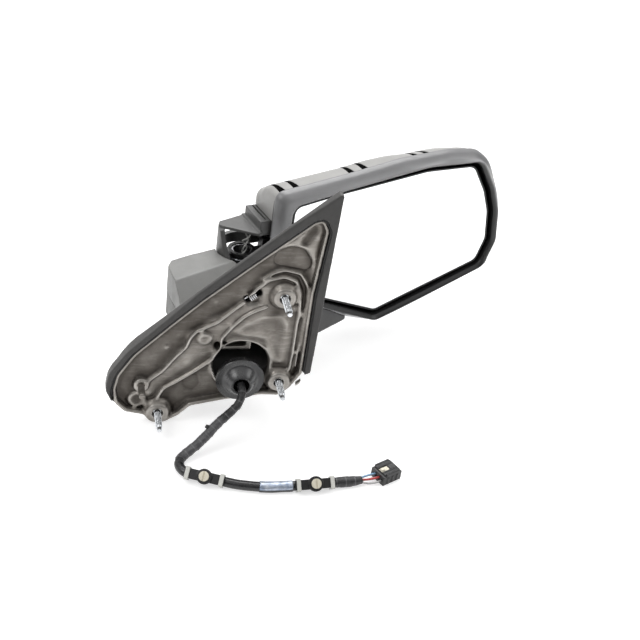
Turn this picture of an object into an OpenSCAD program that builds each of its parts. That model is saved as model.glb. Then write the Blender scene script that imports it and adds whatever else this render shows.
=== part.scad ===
// Car side mirror, passenger side, for a pickup truck: shown folded back, with the painted cap left off.
// X runs to the rear of the car, Y away from the door and Z up. The origin is on the axis of the
// lower rear mounting stud, in the plane where the stud bosses meet the door.

/* [Mounting studs] */
// Thread diameter of each mounting stud
stud_d = 6; // [5:0.5:7]
// Length of stud standing out of its boss
stud_len = 23; // [18:1:30]
// Diameter of the boss round each stud
boss_d = 20; // [17:1:22]
// Upper stud, distance behind the lower rear stud
upper_stud_x = -4; // [-8:1:0]
// Upper stud, height above the lower rear stud
upper_stud_z = 86; // [82:1:90]
// Front stud, distance behind the lower rear stud
front_stud_x = -103; // [-105:1:-101]
// Front stud, height above the lower rear stud
front_stud_z = -32.5; // [-34:0.5:-31]
// Diameter of the locating pin
pin_d = 6; // [4:0.5:7]
// Length of the locating pin beyond the boss face plane
pin_len = 12; // [8:1:16]

/* [Base casting] */
// Depth of the casting from the boss faces to its back
base_depth = 12; // [10:0.5:14]
// Thickness of the casting's web
web_t = 3; // [2:0.25:4]
// Thickness of the casting's outer rim wall
rim_w = 3; // [2:0.25:4]
// Width of the stiffening ridges
rib_w = 3; // [2:0.25:4]
// Radius of the cable opening
opening_r = 24; // [23:0.5:25]

/* [Sail cover] */
// Width of the cover's visible rim round the casting
lip_w = 6.8; // [5.5:0.2:8]
// Wall thickness of the sail cover and the arm covers
cover_wall = 2.5; // [2:0.1:3]
// How far the cover stands out from the door at the arm
bulge_y = 48; // [44:1:50]
// Width of the black seal between cover and casting
seal_w = 1.4; // [1:0.1:2]

/* [Pivot] */
// Pivot axis, distance behind the lower rear stud
pivot_x = -24.5; // [-26:0.5:-23]
// Pivot axis, distance out from the door
pivot_y = 110.5; // [109:0.5:112]
// Outside diameter of the pivot tube
post_d = 20; // [18:0.5:21]
// Wall of the pivot tube
post_wall = 2; // [1.5:0.25:2.5]
// Height of the casting's pivot seat
seat_z = 46; // [45:0.5:47]
// Height of the top of the pivot ring
ring_z = 70; // [69:0.5:71]
// Radius of the ring that holds the spring down
ring_r = 12.7; // [12.2:0.1:13]
// Wire diameter of the pivot spring
spring_wire = 2; // [1.6:0.1:2.2]

/* [Overall] */
// Length of the head from its inner end, along the head
head_length = 257; // [252:1:262]
// Height of the head
head_height = 180; // [177:1:183]
// Height of the sail cover's tip above the lower stud
sail_height = 187; // [183:1:191]

/* [Head] */
// Angle of the folded head from the car's length
head_angle = 17.5; // [15:0.5:20]
// Front face of the bezel, distance in front of the pivot
bezel_front = 30.75; // [30:0.25:32]
// Back edge of the bezel, distance in front of the pivot
bezel_back = 18; // [16:0.5:19]
// Wall thickness of the bezel and the housings
shell_wall = 2.5; // [2:0.1:3]
// Height of the joint between the two housings
split_z = 78; // [76:1:84]
// Height of the shroud's roof over the pivot
roof_z = 95; // [94:0.5:97]
// Outer radius of the shroud wall round the pivot
shroud_r = 23.2; // [22.5:0.1:23.6]
// Width of each clip slot for the painted cap
slot_w = 5.6; // [4:0.2:7]

/* [Mirror glass] */
// Thickness of the glass
glass_t = 2; // [1.6:0.1:2.4]
// Thickness of the heater pad
heater_t = 0.5; // [0.3:0.1:0.8]
// Thickness of the backing plate
plate_t = 2; // [1.6:0.1:2.4]
// Width of the backing plate's rim round the glass
plate_rim = 1.2; // [1:0.1:1.5]
// Gap between the backing plate and the bezel
glass_gap = 2.2; // [2:0.1:2.4]
// How far the glass sits behind the bezel's front face
glass_recess = 6; // [5:0.25:7]

/* [Adjuster] */
// Height of the glass's turning centre
turn_z = 67; // [64:1:70]
// Distance of the turning centre from the pivot, along the head
turn_x = 148; // [144:1:152]
// Distance from the turning centre to each adjusting screw
screw_reach = 28; // [26:0.5:30]
// Diameter of the adjusting screws
jack_d = 6; // [5:0.5:7]
// Diameter of the adjuster case
case_d = 88; // [86:1:92]
// Diameter of the gimbal's pins
gimbal_pin_d = 3; // [2.5:0.1:3.2]

/* [Harness] */
// Diameter of the taped cable
cable_d = 8; // [7:0.5:9]
// Radius of the grommet's flange
grommet_r = 21; // [20:0.5:22]
// Height of the surface the cable lies on
floor_z = -43.5; // [-46:0.5:-43]

/* [Fits] */
// Gap between pieces that are fixed together
fit = 0.1; // [0.05:0.05:0.2]
// Radial running clearance of the pivot and the gimbal pins
run = 0.05; // [0.02:0.01:0.08]
// Gap between pieces that move past each other
move_gap = 0.5; // [0.4:0.05:0.8]

/* [Node] */

/* [Hidden] */
$fn = 48;

// Outline of the sail cover, seen from the car: X to the right, Z up
cover_pts = [[27, 10], [32.5, sail_height], [-7, 155], [-76, 91.5], [-101, 64.5], [-131, 33], [-146, 10],
  [-148.5, -6], [-139, -27], [-60, -21]];
cover_rad = [2, 2, 60, 60, 60, 50, 22, 14, 10, 20];
// Outline of the casting
cast_pts = [[20, 8], [20.5, 90], [25.5, 150], [20, 161], [12, 158.5], [-1, 147], [-37, 115.5], [-72, 84],
  [-99, 57], [-126, 29], [-139, 8], [-142.5, -8], [-140, -22], [-131, -31.5], [-115, -35], [-108, -43.5],
  [-97, -43.5], [-85, -36.5], [-75, -26], [-47, -20], [-13, -14.5], [2, -15.5], [11, -7]];
cast_rad = [3, 80, 6, 5, 5, 20, 60, 60, 60, 40, 18, 14, 8, 8, 4, 5, 8, 8, 6, 20, 4, 6, 6];
// Outline of the glass in the head's own frame: X along the head from the pivot, Z up
// Scales an outline of the head by its length and height
function head_at(p) = [for (q = p) [17.5 + (q[0] - 17.5) * head_length / 257, 60 + (q[1] - 60) * head_height / 180]];
glass_pts = head_at([[35.2, 40], [80.7, 16.5], [141, -8], [254, 31.5], [261, 55], [255.5, 87], [245.5, 110.5],
  [227, 138.8], [173, 139.5], [84.5, 127.4], [36.5, 119]]);
glass_rad = [9, 60, 8, 8, 14, 40, 30, 12, 60, 80, 8];
// Outline of the bezel in the head's own frame
bezel_pts = head_at([[17.5, 39], [104, -10], [140.6, -22], [193, -4], [271.4, 22], [274.5, 65.5], [268.8, 98],
  [246.3, 142], [228.3, 155], [195.8, 157.7], [142.7, 153.8], [96.5, 145.5], [17.5, 134]]);
bezel_rad = [8, 60, 10, 60, 8, 22, 40, 18, 12, 60, 120, 120, 9];
stud_at = [[0, 0], [upper_stud_x, upper_stud_z], [front_stud_x, front_stud_z]];
pin_at = [-118, -5];
pin_seat = 3.5;
clip_at = [-30, 84];
opening_at = [-34, 15];
edge_y = 3.5;
grommet_at = [-34.7, 5];
web_y = base_depth - web_t;
pocket_y = base_depth + 1.4;
glass_y = -bezel_front + glass_recess;
heater_y = glass_y + glass_t;
plate_y = heater_y + heater_t;
plate_back = plate_y + plate_t;
turn_y = -14;
case_y = turn_y + 6;
case_len = 16;
case_wall = 1.8;
frame_y = case_y + case_len + fit;
frame_t = 3;
lid_t = 1.6;
post_r = post_d / 2;
arm_floor = 22;
bore_z = 26.2;
detent_z = seat_z + 2;
hub_z = detent_z + 2 * 1 + move_gap;
hub_r = 16.2;
foot_dir = 31.6;
cut_r = shroud_r + 1;
nut_r = 10.5;
nut_len = 6;
tilt_at = [turn_x, turn_z + screw_reach];
pan_at = [turn_x + screw_reach, turn_z];
ear_y = -3.7;
ear_t = 2;
arm_y = frame_y - 6;
top_screw = head_at([[205, 144.7]])[0];
frame_screw_at = [[top_screw[0], top_screw[1], ear_y], [27.5, 104, arm_y], [27.5, 72, arm_y]];
arm_screw_at = [[-74, 66], [-66, 84], [-36, 90]];

function unit(v) = v / norm(v);
function at(p, i) = p[(i + len(p)) % len(p)];
function corner(a, b, c, r0, n) = let (u = unit(a - b), v = unit(c - b),
  h = acos(max(-1, min(1, u * v))) / 2, r = min(r0, 0.47 * min(norm(a - b), norm(c - b)) * tan(h)),
  m = b + unit(u + v) * r / sin(h), s = b + u * r / tan(h) - m, e = b + v * r / tan(h) - m,
  a0 = atan2(s[1], s[0]), da = (atan2(e[1], e[0]) - a0 + 540) % 360 - 180)
  [for (i = [0:n]) m + r * [cos(a0 + da * i / n), sin(a0 + da * i / n)]];
function rounded(p, r, n = 5) = [for (i = [0:len(p) - 1])
  each corner(at(p, i - 1), p[i], at(p, i + 1), is_list(r) ? r[i] : r, n)];
function inset(p, d) = [for (i = [0:len(p) - 1]) let (u = unit(p[i] - at(p, i - 1)),
  v = unit(at(p, i + 1) - p[i]), m = [-u[1], u[0]], k = [-v[1], v[0]]) p[i] + d * (m + k) / (1 + m * k)];
function ribbon(p, w) = let (q = [for (i = [0:len(p) - 1]) let (a = p[max(0, i - 1)],
  b = p[min(len(p) - 1, i + 1)], u = unit(b - a)) [p[i] + w / 2 * [-u[1], u[0]], p[i] - w / 2 * [-u[1], u[0]]]])
  concat([for (e = q) e[0]], [for (i = [len(q) - 1:-1:0]) q[i][1]]);
function house_pts(i, x) = let (p = inset(bezel_pts, i), n = len(p))
  [for (k = [0:n - 1]) k == 0 || k == n - 1 ? [x, p[k][1]] : [max(x, p[k][0]), p[k][1]]];

// A plate whose outline is drawn in X and Z, from y0 to y1
module slab(p, y0, y1) translate([0, y1, 0]) rotate([90, 0, 0]) linear_extrude(y1 - y0) polygon(p);
// A round bar along Y, its centre at the point p in X and Z
module rod(p, r, y0, y1) translate([p[0], y1, p[1]]) rotate([90, 0, 0]) cylinder(h = y1 - y0, r = r);
module cone(p, r0, r1, y0, y1) translate([p[0], y0, p[1]]) rotate([-90, 0, 0]) cylinder(h = y1 - y0, r1 = r0, r2 = r1);
module in_head() translate([pivot_x, pivot_y, 0]) rotate([0, 0, head_angle]) children();
module at_pivot(z) translate([pivot_x, pivot_y, z]) children();
module tube(r, ri, z0, z1) translate([0, 0, z0]) difference() {
  cylinder(h = z1 - z0, r = r);
  translate([0, 0, -1]) cylinder(h = z1 - z0 + 2, r = ri);
}

// ---- base ----

// Outer form of the sail cover: three profiles and the slope of its upper edge crossed; i moves every surface in
module sail_form(i) intersection() {
  slab(rounded(inset(cover_pts, i), cover_rad), -0.5, bulge_y + 20);
  translate([0, 0, -60]) linear_extrude(260) polygon(rounded([[-155, -2], [40, -2], [40, 10 - i],
    [16, 18 - i], [-20 - i, bulge_y - i], [-81 + i, bulge_y - i], [-90 + i, bulge_y - 9 - i],
    [-102 + i / 2, 21 - i], [-125, 12 - i], [-155, 8 - i]], [1, 1, 1, 12, 10, 8, 8, 14, 30, 1]));
  translate([-160, 0, 0]) rotate([90, 0, 90]) linear_extrude(210) polygon(rounded([[-2, -60], [10 - i, -60],
    [12 - i, -22], [30 - i, 4 + i], [bulge_y - i, 16 + i], [bulge_y - i, 62 - i], [34 - i, 84 - i],
    [19 - i, 130], [9 - i, 195], [-2, 195]], [1, 1, 12, 12, 12, 12, 20, 60, 1, 1]));
  translate([-76, 0, 91.5]) rotate([0, -42.5, 0]) translate([-150, 0, 0]) rotate([90, 0, 90]) linear_extrude(400)
    polygon([[-2, 3], [edge_y - 4.5 - 1.8 * i, 3], [edge_y + 330 - 1.8 * i, -220], [-2, -220]]);
}

// Plan of the arm that carries the pivot
module arm_plan(i) {
  polygon(rounded(inset([[-24, 30], [-11 - i / 2, 88], [-9, pivot_y - 4], [-40, pivot_y + 3], [-89, 91],
    [-94, 78], [-91, 60], [-84, 30]], i), [2, 6, 4, 4, 7, 9, 14, 2]));
  translate([pivot_x, pivot_y]) circle(r = 18 - i);
}
// Section of the arm across its length, drawn in its distance from the door and its height
module arm_section(i) rotate([0, 0, foot_dir]) translate([-70, 0, 0]) rotate([90, 0, 90]) linear_extrude(140)
  polygon(rounded(inset([[56, 20], [126, 20], [126, 60], [123.4, 70], [93.4, 70], [67, 50], [56, 50]], i),
    [2, 2, 14, 5, 3, 8, 2]));

module casting_arm(i) translate([0, 0, 27 + i]) linear_extrude(seat_z - 6 - 27 - 2 * i)
  polygon([[-62 + i, base_depth - 2 - i], [-26 - i, base_depth - 2 - i], [-26 - i, 41 + i / 3],
    [pivot_x + 9 - i, pivot_y - 8], [pivot_x - 12 + i, pivot_y - 4], [-62 + i, 60 - i / 2]]);

ridge_main = [[-114, -3], [-101, 9], [-89, 26], [-82, 34], [-79, 44], [-74, 51], [-66, 55], [-58, 59],
  [-48, 69], [-37, 79], [-28, 92], [-18, 101], [-6, 104.5], [5, 100.5], [10, 89], [10.5, 73], [10, 49], [9, 10]];
ridge_outer = [[-24, 101], [-16, 107], [-6, 110.5], [8, 107], [15, 95], [15.5, 81], [15, 57], [14, 12]];
ridge_low = [[-106, -24], [-99, -9], [-87, -1], [-77, 6], [-68, 13], [-59, 21], [-53, 31], [-53, 43],
  [-44, 56], [-36, 65], [-29, 70], [-16, 76]];
deep_pocket = [[-18, 115], [-1, 112], [15, 109], [15.5, 118], [8, 130], [-3, 132.5], [-13, 127]];
side_pocket = [[-84, 0], [-82, -11], [-73, -15], [-67, -7], [-70, 5]];
tri_pocket = [[-38, 56], [-44, 46], [-16, 42.5], [-7.5, 20], [3, 14], [3, 60], [-3, 67], [-20, 66]];
oval_pocket = [[1, 135], [9.5, 131.5], [20, 150], [13, 156]];

module base_casting() color([0.55, 0.52, 0.49]) difference() {
  union() {
    difference() {
      slab(rounded(cast_pts, cast_rad), 2, base_depth);
      slab(rounded(inset(cast_pts, rim_w), [for (r = cast_rad) max(1, r - rim_w)]), 1, web_y);
    }
    intersection() {
      union() {
        for (p = stud_at) { rod(p, boss_d / 2, 0, web_y + 1); rod(p, boss_d / 2 + 2.5, 5, web_y + 1); }
        slab(ribbon(ridge_main, rib_w), 4, web_y + 1);
        slab(ribbon(ridge_outer, rib_w * 0.7), 5, web_y + 1);
        slab(ribbon(ridge_low, rib_w), 4.5, web_y + 1);
        slab(rounded(tri_pocket, 5), 6.5, web_y + 1);
        rod([-67, 43], 7, 5.5, web_y + 1);
        rod([-121, -21], 8, 5, web_y + 1);
        rod(pin_at, pin_d / 2 + 4, pin_seat, web_y + 1);
        rod(opening_at, opening_r + 3, 6, web_y + 1);
      }
      slab(rounded(inset(cast_pts, 0.3), cast_rad), -1, base_depth - 0.3);
    }
    slab(rounded(inset(deep_pocket, -2.5), 7), web_y + 0.6, pocket_y + 2);
    casting_arm(0);
    at_pivot(bore_z) cylinder(h = seat_z - bore_z, r = 16.5);
  }
  for (p = stud_at) {
    rod(p, stud_d / 2 + 1.5, -1, 4);
    rod(p, stud_d / 2 + 0.5 + fit, 3, base_depth + 1);
  }
  rod(pin_at, pin_d / 2 - 0.5 + fit, -1, base_depth + 1);
  rod([-67, 43], 4, 4, 7.5);
  rod([-121, -21], 5, 4, 7.5);
  rod(opening_at, opening_r, -1, base_depth + 0.5);
  slab(rounded(inset(tri_pocket, 3), 3), -1, 8);
  slab(rounded(deep_pocket, 6), -1, pocket_y);
  slab(rounded(side_pocket, 3), -1, base_depth - 1);
  slab(rounded(oval_pocket, 4), -1, base_depth - 1.5);
  slab(rounded([[-38, 82], [-33, 77], [-22, 86], [-26, 92]], 1.5), -1, base_depth + 1);
  // wire way through the arm
  translate([0, 0, 30]) linear_extrude(seat_z - 6 - 33) polygon([[-58, web_y - 2], [-30, web_y - 2], [-30, 42],
    [pivot_x + 4, pivot_y - 17], [pivot_x - 6, pivot_y - 15], [-58, 57]]);
  at_pivot(20) cylinder(h = 60, r = post_r + fit);
  for (p = arm_screw_at) translate([p[0], p[1], 20]) cylinder(h = 12, d = 3.4);
}

module sail_cover() color([0.30, 0.30, 0.30]) difference() {
  sail_form(0);
  difference() {
    sail_form(cover_wall);
    slab(inset(cover_pts, -20), -1, 3);
    for (z = [-14, 60, 130]) translate([20 + z / 60, 0, z]) cube([10, 14, 2]);
  }
  slab(rounded(inset(cast_pts, -seal_w - 2 * fit), [for (r = cast_rad) r + seal_w]), -2, 4 + 2 * fit);
  slab(rounded(inset(cast_pts, -2 * fit), cast_rad), 0, base_depth + 1.5);
  translate([0, 0.5, 0]) casting_arm(-1.2);
  translate([-63, 30, 24]) cube([38, 40, seat_z - 6 - 21]);
  slab(rounded(inset(deep_pocket, -3.2), 7), 8, pocket_y + 2 + 0.4);
  for (p = stud_at) rod(p, stud_d / 2 + 3.2, base_depth - 1, base_depth + 2.6);
}

module cover_seal() color([0.05, 0.05, 0.05]) intersection() {
  difference() {
    slab(rounded(inset(cast_pts, -seal_w - fit), [for (r = cast_rad) r + seal_w]), 0.5, 4);
    slab(rounded(inset(cast_pts, -fit), cast_rad), -1, 5);
  }
  slab(rounded(inset(cover_pts, 3), [for (r = cover_rad) max(1, r - 3)]), -1, 6);
}

module arm_cover_upper() color([0.52, 0.52, 0.51]) difference() {
  intersection() {
    translate([0, 0, seat_z - 1]) linear_extrude(60) arm_plan(0);
    arm_section(0);
  }
  intersection() {
    translate([0, 0, seat_z - 2]) linear_extrude(60) arm_plan(cover_wall);
    arm_section(cover_wall);
    translate([-120, 0, seat_z - 2]) cube([140, 200, 90]);
  }
  at_pivot(seat_z - 2) cylinder(h = 60, r = cut_r, $fn = 96);
  sail_form(-0.3);
}

module arm_cover_lower() color([0.42, 0.42, 0.42]) difference() {
  intersection() {
    translate([0, 0, arm_floor]) linear_extrude(seat_z - 1 - fit - arm_floor) arm_plan(0.4);
    union() { arm_section(0.4); at_pivot(20) cylinder(h = 30, r = 17.6); }
  }
  intersection() {
    translate([0, 0, arm_floor + cover_wall]) linear_extrude(30) arm_plan(0.4 + cover_wall);
    translate([-120, 0, 0]) cube([140, 200, 90]);
  }
  at_pivot(arm_floor + cover_wall) cylinder(h = 40, r = 16.5 + fit);
  sail_form(-0.3);
  for (p = arm_screw_at) translate([p[0], p[1], 20]) cylinder(h = 8, d = 3.6);
}

module arm_screws() color([0.25, 0.25, 0.27]) for (p = arm_screw_at) translate([p[0], p[1], 19.6]) difference() {
  union() {
    cylinder(h = 2.3, d = 6.5);
    cylinder(h = 11, d = 3);
  }
  translate([0, 0, -1]) cylinder(h = 2.4, d = 2.4, $fn = 6);
}

module mounting_studs() color([0.82, 0.83, 0.84]) for (p = stud_at) {
  rod(p, stud_d / 2 + 0.5, 3.2, base_depth);
  rod(p, stud_d / 2 + 2.5, base_depth + fit, base_depth + 2);
  rod(p, stud_d / 2 + 0.5, base_depth - 0.5, base_depth + 1);
  rod(p, stud_d / 2 - 0.3, -1, 4);
  rod(p, stud_d / 2, -stud_len + 4, 0);
  cone(p, stud_d / 2 - 0.8, stud_d / 2, -stud_len + 3, -stud_len + 4);
  rod(p, stud_d / 2 - 0.8, -stud_len, -stud_len + 3);
}

module locating_pin() color([0.60, 0.58, 0.56]) {
  rod(pin_at, pin_d / 2, -pin_len + 1, pin_seat - fit);
  rod(pin_at, pin_d / 2 - 0.5, pin_seat - 1, base_depth);
  cone(pin_at, pin_d / 2 - 1, pin_d / 2, -pin_len, -pin_len + 1);
}

module casting_clip() color([0.80, 0.80, 0.80]) translate([clip_at[0], web_y - 1, clip_at[1]]) rotate([0, -42, 0]) {
  for (x = [-2.8, 0, 2.8]) translate([x, 0, 0]) rotate([0, 90, 0]) rotate_extrude() translate([2.7, 0]) circle(r = 0.6, $fn = 16);
  translate([-2.8, 2.7, 0]) rotate([0, 90, 0]) cylinder(h = 5.6, r = 0.6);
  translate([-6.8, 2.7, 0]) rotate([0, 90, 0]) cylinder(h = 13.6, r = 0.5);
}

module pivot_post() color([0.66, 0.66, 0.66]) at_pivot(0) {
  tube(post_r, post_r - post_wall, arm_floor + cover_wall + 0.2, ring_z - 1);
  tube(post_r + 3, post_r - post_wall, arm_floor + cover_wall + 0.2, bore_z - fit);
}

module detent_bumps(r0, r1, z, h, grow) for (a = [20, 140, 260]) rotate([0, 0, a]) intersection() {
  tube(r1, r0, z - 1, z + h);
  rotate([0, 90, 0]) translate([-z, 0, r0 - 1]) cylinder(h = r1 - r0 + 2, r = h + grow);
}

module detent_ring_lower() color([0.45, 0.45, 0.46]) at_pivot(0) {
  tube(16, post_r + 0.3, seat_z + fit, detent_z);
  detent_bumps(post_r + 1.5, 14.5, detent_z, 1, 0.6);
}

module pivot_spring() color([0.62, 0.63, 0.65]) at_pivot(0) {
  for (k = [0:3]) translate([0, 0, hub_z + 5 + spring_wire / 2 + k * (ring_z - 9.8 - hub_z - spring_wire) / 3])
    rotate_extrude() translate([post_r + 1.6, 0]) circle(d = spring_wire, $fn = 16);
  for (k = [0:2]) rotate([0, 0, 120 * k]) translate([post_r + 1.6, 0, hub_z + 5 + spring_wire / 2])
    cylinder(h = ring_z - 9.8 - hub_z - spring_wire, d = spring_wire * 0.6, $fn = 16);
}

module spring_retainer() color([0.36, 0.36, 0.37]) at_pivot(0) difference() {
  translate([0, 0, ring_z - 3.6]) cylinder(h = 3.6, r = ring_r);
  translate([0, 0, ring_z - 5]) cylinder(h = 4 + fit, r = post_r + fit);
  translate([0, 0, ring_z - 2]) cylinder(h = 4, r = post_r - 0.6);
  for (a = [0:60:300]) rotate([0, 0, a]) translate([post_r + 0.4, -1, ring_z - 0.6]) cube([1.2, 2, 2]);
}

wire_up = [[0, 0, 34], [0.5, -1, 52], [0, -2, 64], [2, -3, 72], [1, -4, 79], [3, -4, 84], [3, -5, 91.2]];
module pivot_wires() color([0.80, 0.80, 0.78]) at_pivot(0) {
  cord(smooth_path([for (p = wire_up) p - [2, 0, 0]], 3), [0.7], 8, [0, 1, 0]);
  cord(smooth_path([for (p = wire_up) [p[0] * 1.3 + 4, p[1], p[2]]], 3), [0.7], 8, [0, 1, 0]);
}

// ---- harness ----

// The cable's centre line, hand laid: out of the grommet, down, and along the surface
lay_z = floor_z + cable_d / 2 + 0.4;
route = [[-34.7, 14, 7], [-34.7, 4, 6], [-34.7, -6, 5], [-34.7, -15, 3.5], [-36, -21.5, 0], [-40, -25, -6],
  [-47, -27, -13], [-56, -30.5, -20.5], [-65, -36.2, -28], [-74.3, -42.3, -33.8], [-83.2, -48, -37.6],
  [-87.7, -53.3, -38.9], [-88.9, -60.2, lay_z], [-86.3, -66.7, lay_z], [-80.8, -70.8, lay_z],
  [-69, -75.4, lay_z], [-56.5, -80.4, lay_z], [-42, -85.7, lay_z], [-20, -89.3, lay_z], [4, -89, lay_z],
  [20, -87.8, lay_z], [36, -86.6, lay_z], [52, -85.6, lay_z], [62, -84.2, lay_z]];
function spline(p, i, t) = let (a = p[max(0, i - 1)], b = p[i], c = p[i + 1], d = p[min(len(p) - 1, i + 2)])
  0.5 * (2 * b + (c - a) * t + (2 * a - 5 * b + 4 * c - d) * t * t + (3 * b - a - 3 * c + d) * t * t * t);
function smooth_path(p, n) = concat([for (i = [0:len(p) - 2], k = [0:n - 1]) spline(p, i, k / n)], [p[len(p) - 1]]);
function cross_unit(v, up) = let (w = cross(v, up)) norm(w) > 0.01 ? unit(w) : [1, 0, 0];
module cord(p, r, sides, up = [0, 0, 1]) let (n = len(p), pts = [for (i = [0:n - 1]) let (
    t = unit(p[min(n - 1, i + 1)] - p[max(0, i - 1)]), a = cross_unit(t, up), b = cross(t, a), ri = r[min(i, len(r) - 1)])
    for (k = [0:sides - 1]) p[i] + ri * (cos(360 * k / sides) * a + sin(360 * k / sides) * b)])
  polyhedron(pts, concat([[for (k = [0:sides - 1]) k]], [[for (k = [0:sides - 1]) (n - 1) * sides + sides - 1 - k]],
    [for (i = [0:n - 2], k = [0:sides - 1]) let (j = (k + 1) % sides)
      [i * sides + j, i * sides + k, (i + 1) * sides + k, (i + 1) * sides + j]]), convexity = 8);
cable_path = smooth_path(route, 3);
cable_r = [for (i = [0:len(cable_path) - 1]) cable_d / 2 * (i < 13 ? 0.84 : i < 22 ? 0.84 + 0.018 * (i - 13) : 1)];

module harness_cable() color([0.07, 0.07, 0.07]) cord(cable_path, cable_r, 12);

module cable_grommet() color([0.10, 0.10, 0.10]) difference() {
  union() {
    rod(grommet_at, grommet_r, -2.5, 0.5);
    rod(grommet_at, grommet_r - 2.5, 0.5, 3);
    rod(grommet_at, grommet_r - 1.8, 3, 5.5);
    rod(grommet_at, 13.2, 5, 12);
    cone(grommet_at, 8.6, 14.6, -11.5, -2.5);
  }
  cone(grommet_at, 6.8, 11, -12.5, -2);
  rod(grommet_at, 11, -2.1, 4);
  translate([grommet_at[0], 3, grommet_at[1] + 0.7]) rotate([-90, 0, 0]) cylinder(h = 20, r = cable_d / 2 * 0.84 + 1.6);
}

// Two harness clips, each with a bar, two straps and a round button
clip_spots = [[-69, -75.4, -21.7], [20, -87.8, 4.3]];
module at_clip(c) translate([c[0], c[1], lay_z]) rotate([0, 0, c[2]]) rotate([45, 0, 0]) children();
module harness_clips() color([0.06, 0.06, 0.06]) for (c = clip_spots) at_clip(c) difference() {
  union() {
    translate([-17, -4.2, cable_d / 2 + 0.2]) cube([34, 8.4, 2]);
    translate([0, 0, cable_d / 2 + 0.2]) cylinder(h = 3.4, r = 6.4);
  }
  translate([0, 0, cable_d / 2 - 1]) cylinder(h = 10, r = 2.6);
}
module clip_straps() color([0.75, 0.75, 0.73]) for (c = clip_spots, x = [-14.5, 14.5]) at_clip(c)
  translate([x - 1.8, 0, 0]) difference() {
    translate([0, -5.4, 0]) cube([3.6, 10.8, cable_d / 2 + 3.3]);
    translate([-1, -4.5, -1]) cube([6, 9, cable_d / 2 + 3.4]);
  }
module clip_buttons() color([0.83, 0.81, 0.74]) for (c = clip_spots) at_clip(c) difference() {
  union() {
    translate([0, 0, cable_d / 2 + 0.3]) cylinder(h = 4, r = 2.5);
    translate([0, 0, cable_d / 2 + 3.7]) cylinder(h = 1.6, r = 4.2);
  }
  translate([-0.6, -5, cable_d / 2 + 4.3]) cube([1.2, 10, 3]);
}

// A hollow sleeve along a path, with outer radius r and inner radius ri
module cord_sleeve(p, r, ri, sides) let (n = len(p), m = n * sides, pts = [for (q = [r, ri], i = [0:n - 1]) let (
    t = unit(p[min(n - 1, i + 1)] - p[max(0, i - 1)]), a = cross_unit(t, [0, 0, 1]), b = cross(t, a))
    for (k = [0:sides - 1]) p[i] + q * (cos(360 * k / sides) * a + sin(360 * k / sides) * b)])
  polyhedron(pts, concat(
    [for (i = [0:n - 2], k = [0:sides - 1]) let (j = (k + 1) % sides)
      [i * sides + j, i * sides + k, (i + 1) * sides + k, (i + 1) * sides + j]],
    [for (i = [0:n - 2], k = [0:sides - 1]) let (j = (k + 1) % sides)
      [m + i * sides + k, m + i * sides + j, m + (i + 1) * sides + j, m + (i + 1) * sides + k]],
    [for (k = [0:sides - 1]) let (j = (k + 1) % sides) [k, j, m + j, m + k]],
    [for (k = [0:sides - 1]) let (j = (k + 1) % sides, e = (n - 1) * sides) [e + j, e + k, m + e + k, m + e + j]]),
    convexity = 8);
label_path = concat([for (t = [0.75:0.125:0.9]) spline(route, 17, t)], [for (t = [0:0.15:0.9]) spline(route, 18, t)]);
module label_sleeve() color([0.62, 0.64, 0.66]) cord_sleeve(label_path, cable_d / 2 + 0.8, cable_d / 2 + 0.15, 12);

module tape_tab() color([0.08, 0.08, 0.08]) translate([-62, -30.6, -24]) rotate([0, 35, 32])
  translate([-4.5, -1.5, -1]) cube([9, 3, 3.2]);

lead_end = [74.5, -82.3, lay_z];
module harness_leads() color([0.45, 0.12, 0.12]) for (k = [0:3]) let (s = k - 1.5)
  cord(smooth_path([[61, -84.4 + s * 1.2, lay_z + (k % 2) * 1.6 - 0.6], [67, -84.2 + s * 2.4, lay_z + (k % 2) * 2.2 - 0.8],
    lead_end + [0, s * 2.8, (k % 2) * 2.4 - 1.2], lead_end + [4.5, s * 2.8 + 2, (k % 2) * 2.4 - 1.2]], 3), [0.95], 8);

// The plug: a ribbed body with its mating mouth at the far end
conn_l = 20;
conn_w = 16.5;
conn_h = 10.5;
module at_plug() translate([76.3, -81, floor_z]) rotate([0, 0, 27]) children();
module connector_body() color([0.05, 0.05, 0.05]) at_plug() difference() {
  union() {
    translate([0, -conn_w / 2, 0]) cube([conn_l, conn_w, conn_h - 1.5]);
    translate([2, -conn_w / 2 + 1.5, 0]) cube([conn_l - 3, conn_w - 3, conn_h]);
    for (y = [-conn_w / 2, -conn_w / 2 + 4, conn_w / 2 - 1.5, conn_w / 2 - 5.5])
      translate([3, y, 0]) cube([conn_l - 5, 1.5, conn_h + 0.6]);
    for (x = [4, 9, 14]) translate([x, -conn_w / 2 - 0.8, 1]) cube([2, conn_w + 1.6, conn_h - 4]);
  }
  translate([conn_l - 9, -conn_w / 2 + 1.6, 1.6]) cube([10, conn_w - 3.2, conn_h - 4.6]);
  for (k = [0:3]) translate([-1, (k - 1.5) * 3.4, conn_h / 2 - 0.5]) rotate([0, 90, 0]) cylinder(h = 8, r = 1.3);
  translate([2.5, -2.6, conn_h - 2.2]) cube([9, 5.2, 4]);
}
module connector_latch() color([0.85, 0.82, 0.70]) at_plug() {
  translate([2.6, -2.4, conn_h - 2.1]) cube([8.6, 4.8, 1.6]);
  translate([3.2, -1.6, conn_h - 1]) cube([3.2, 3.2, 1.8]);
}

// ---- head ----

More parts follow.
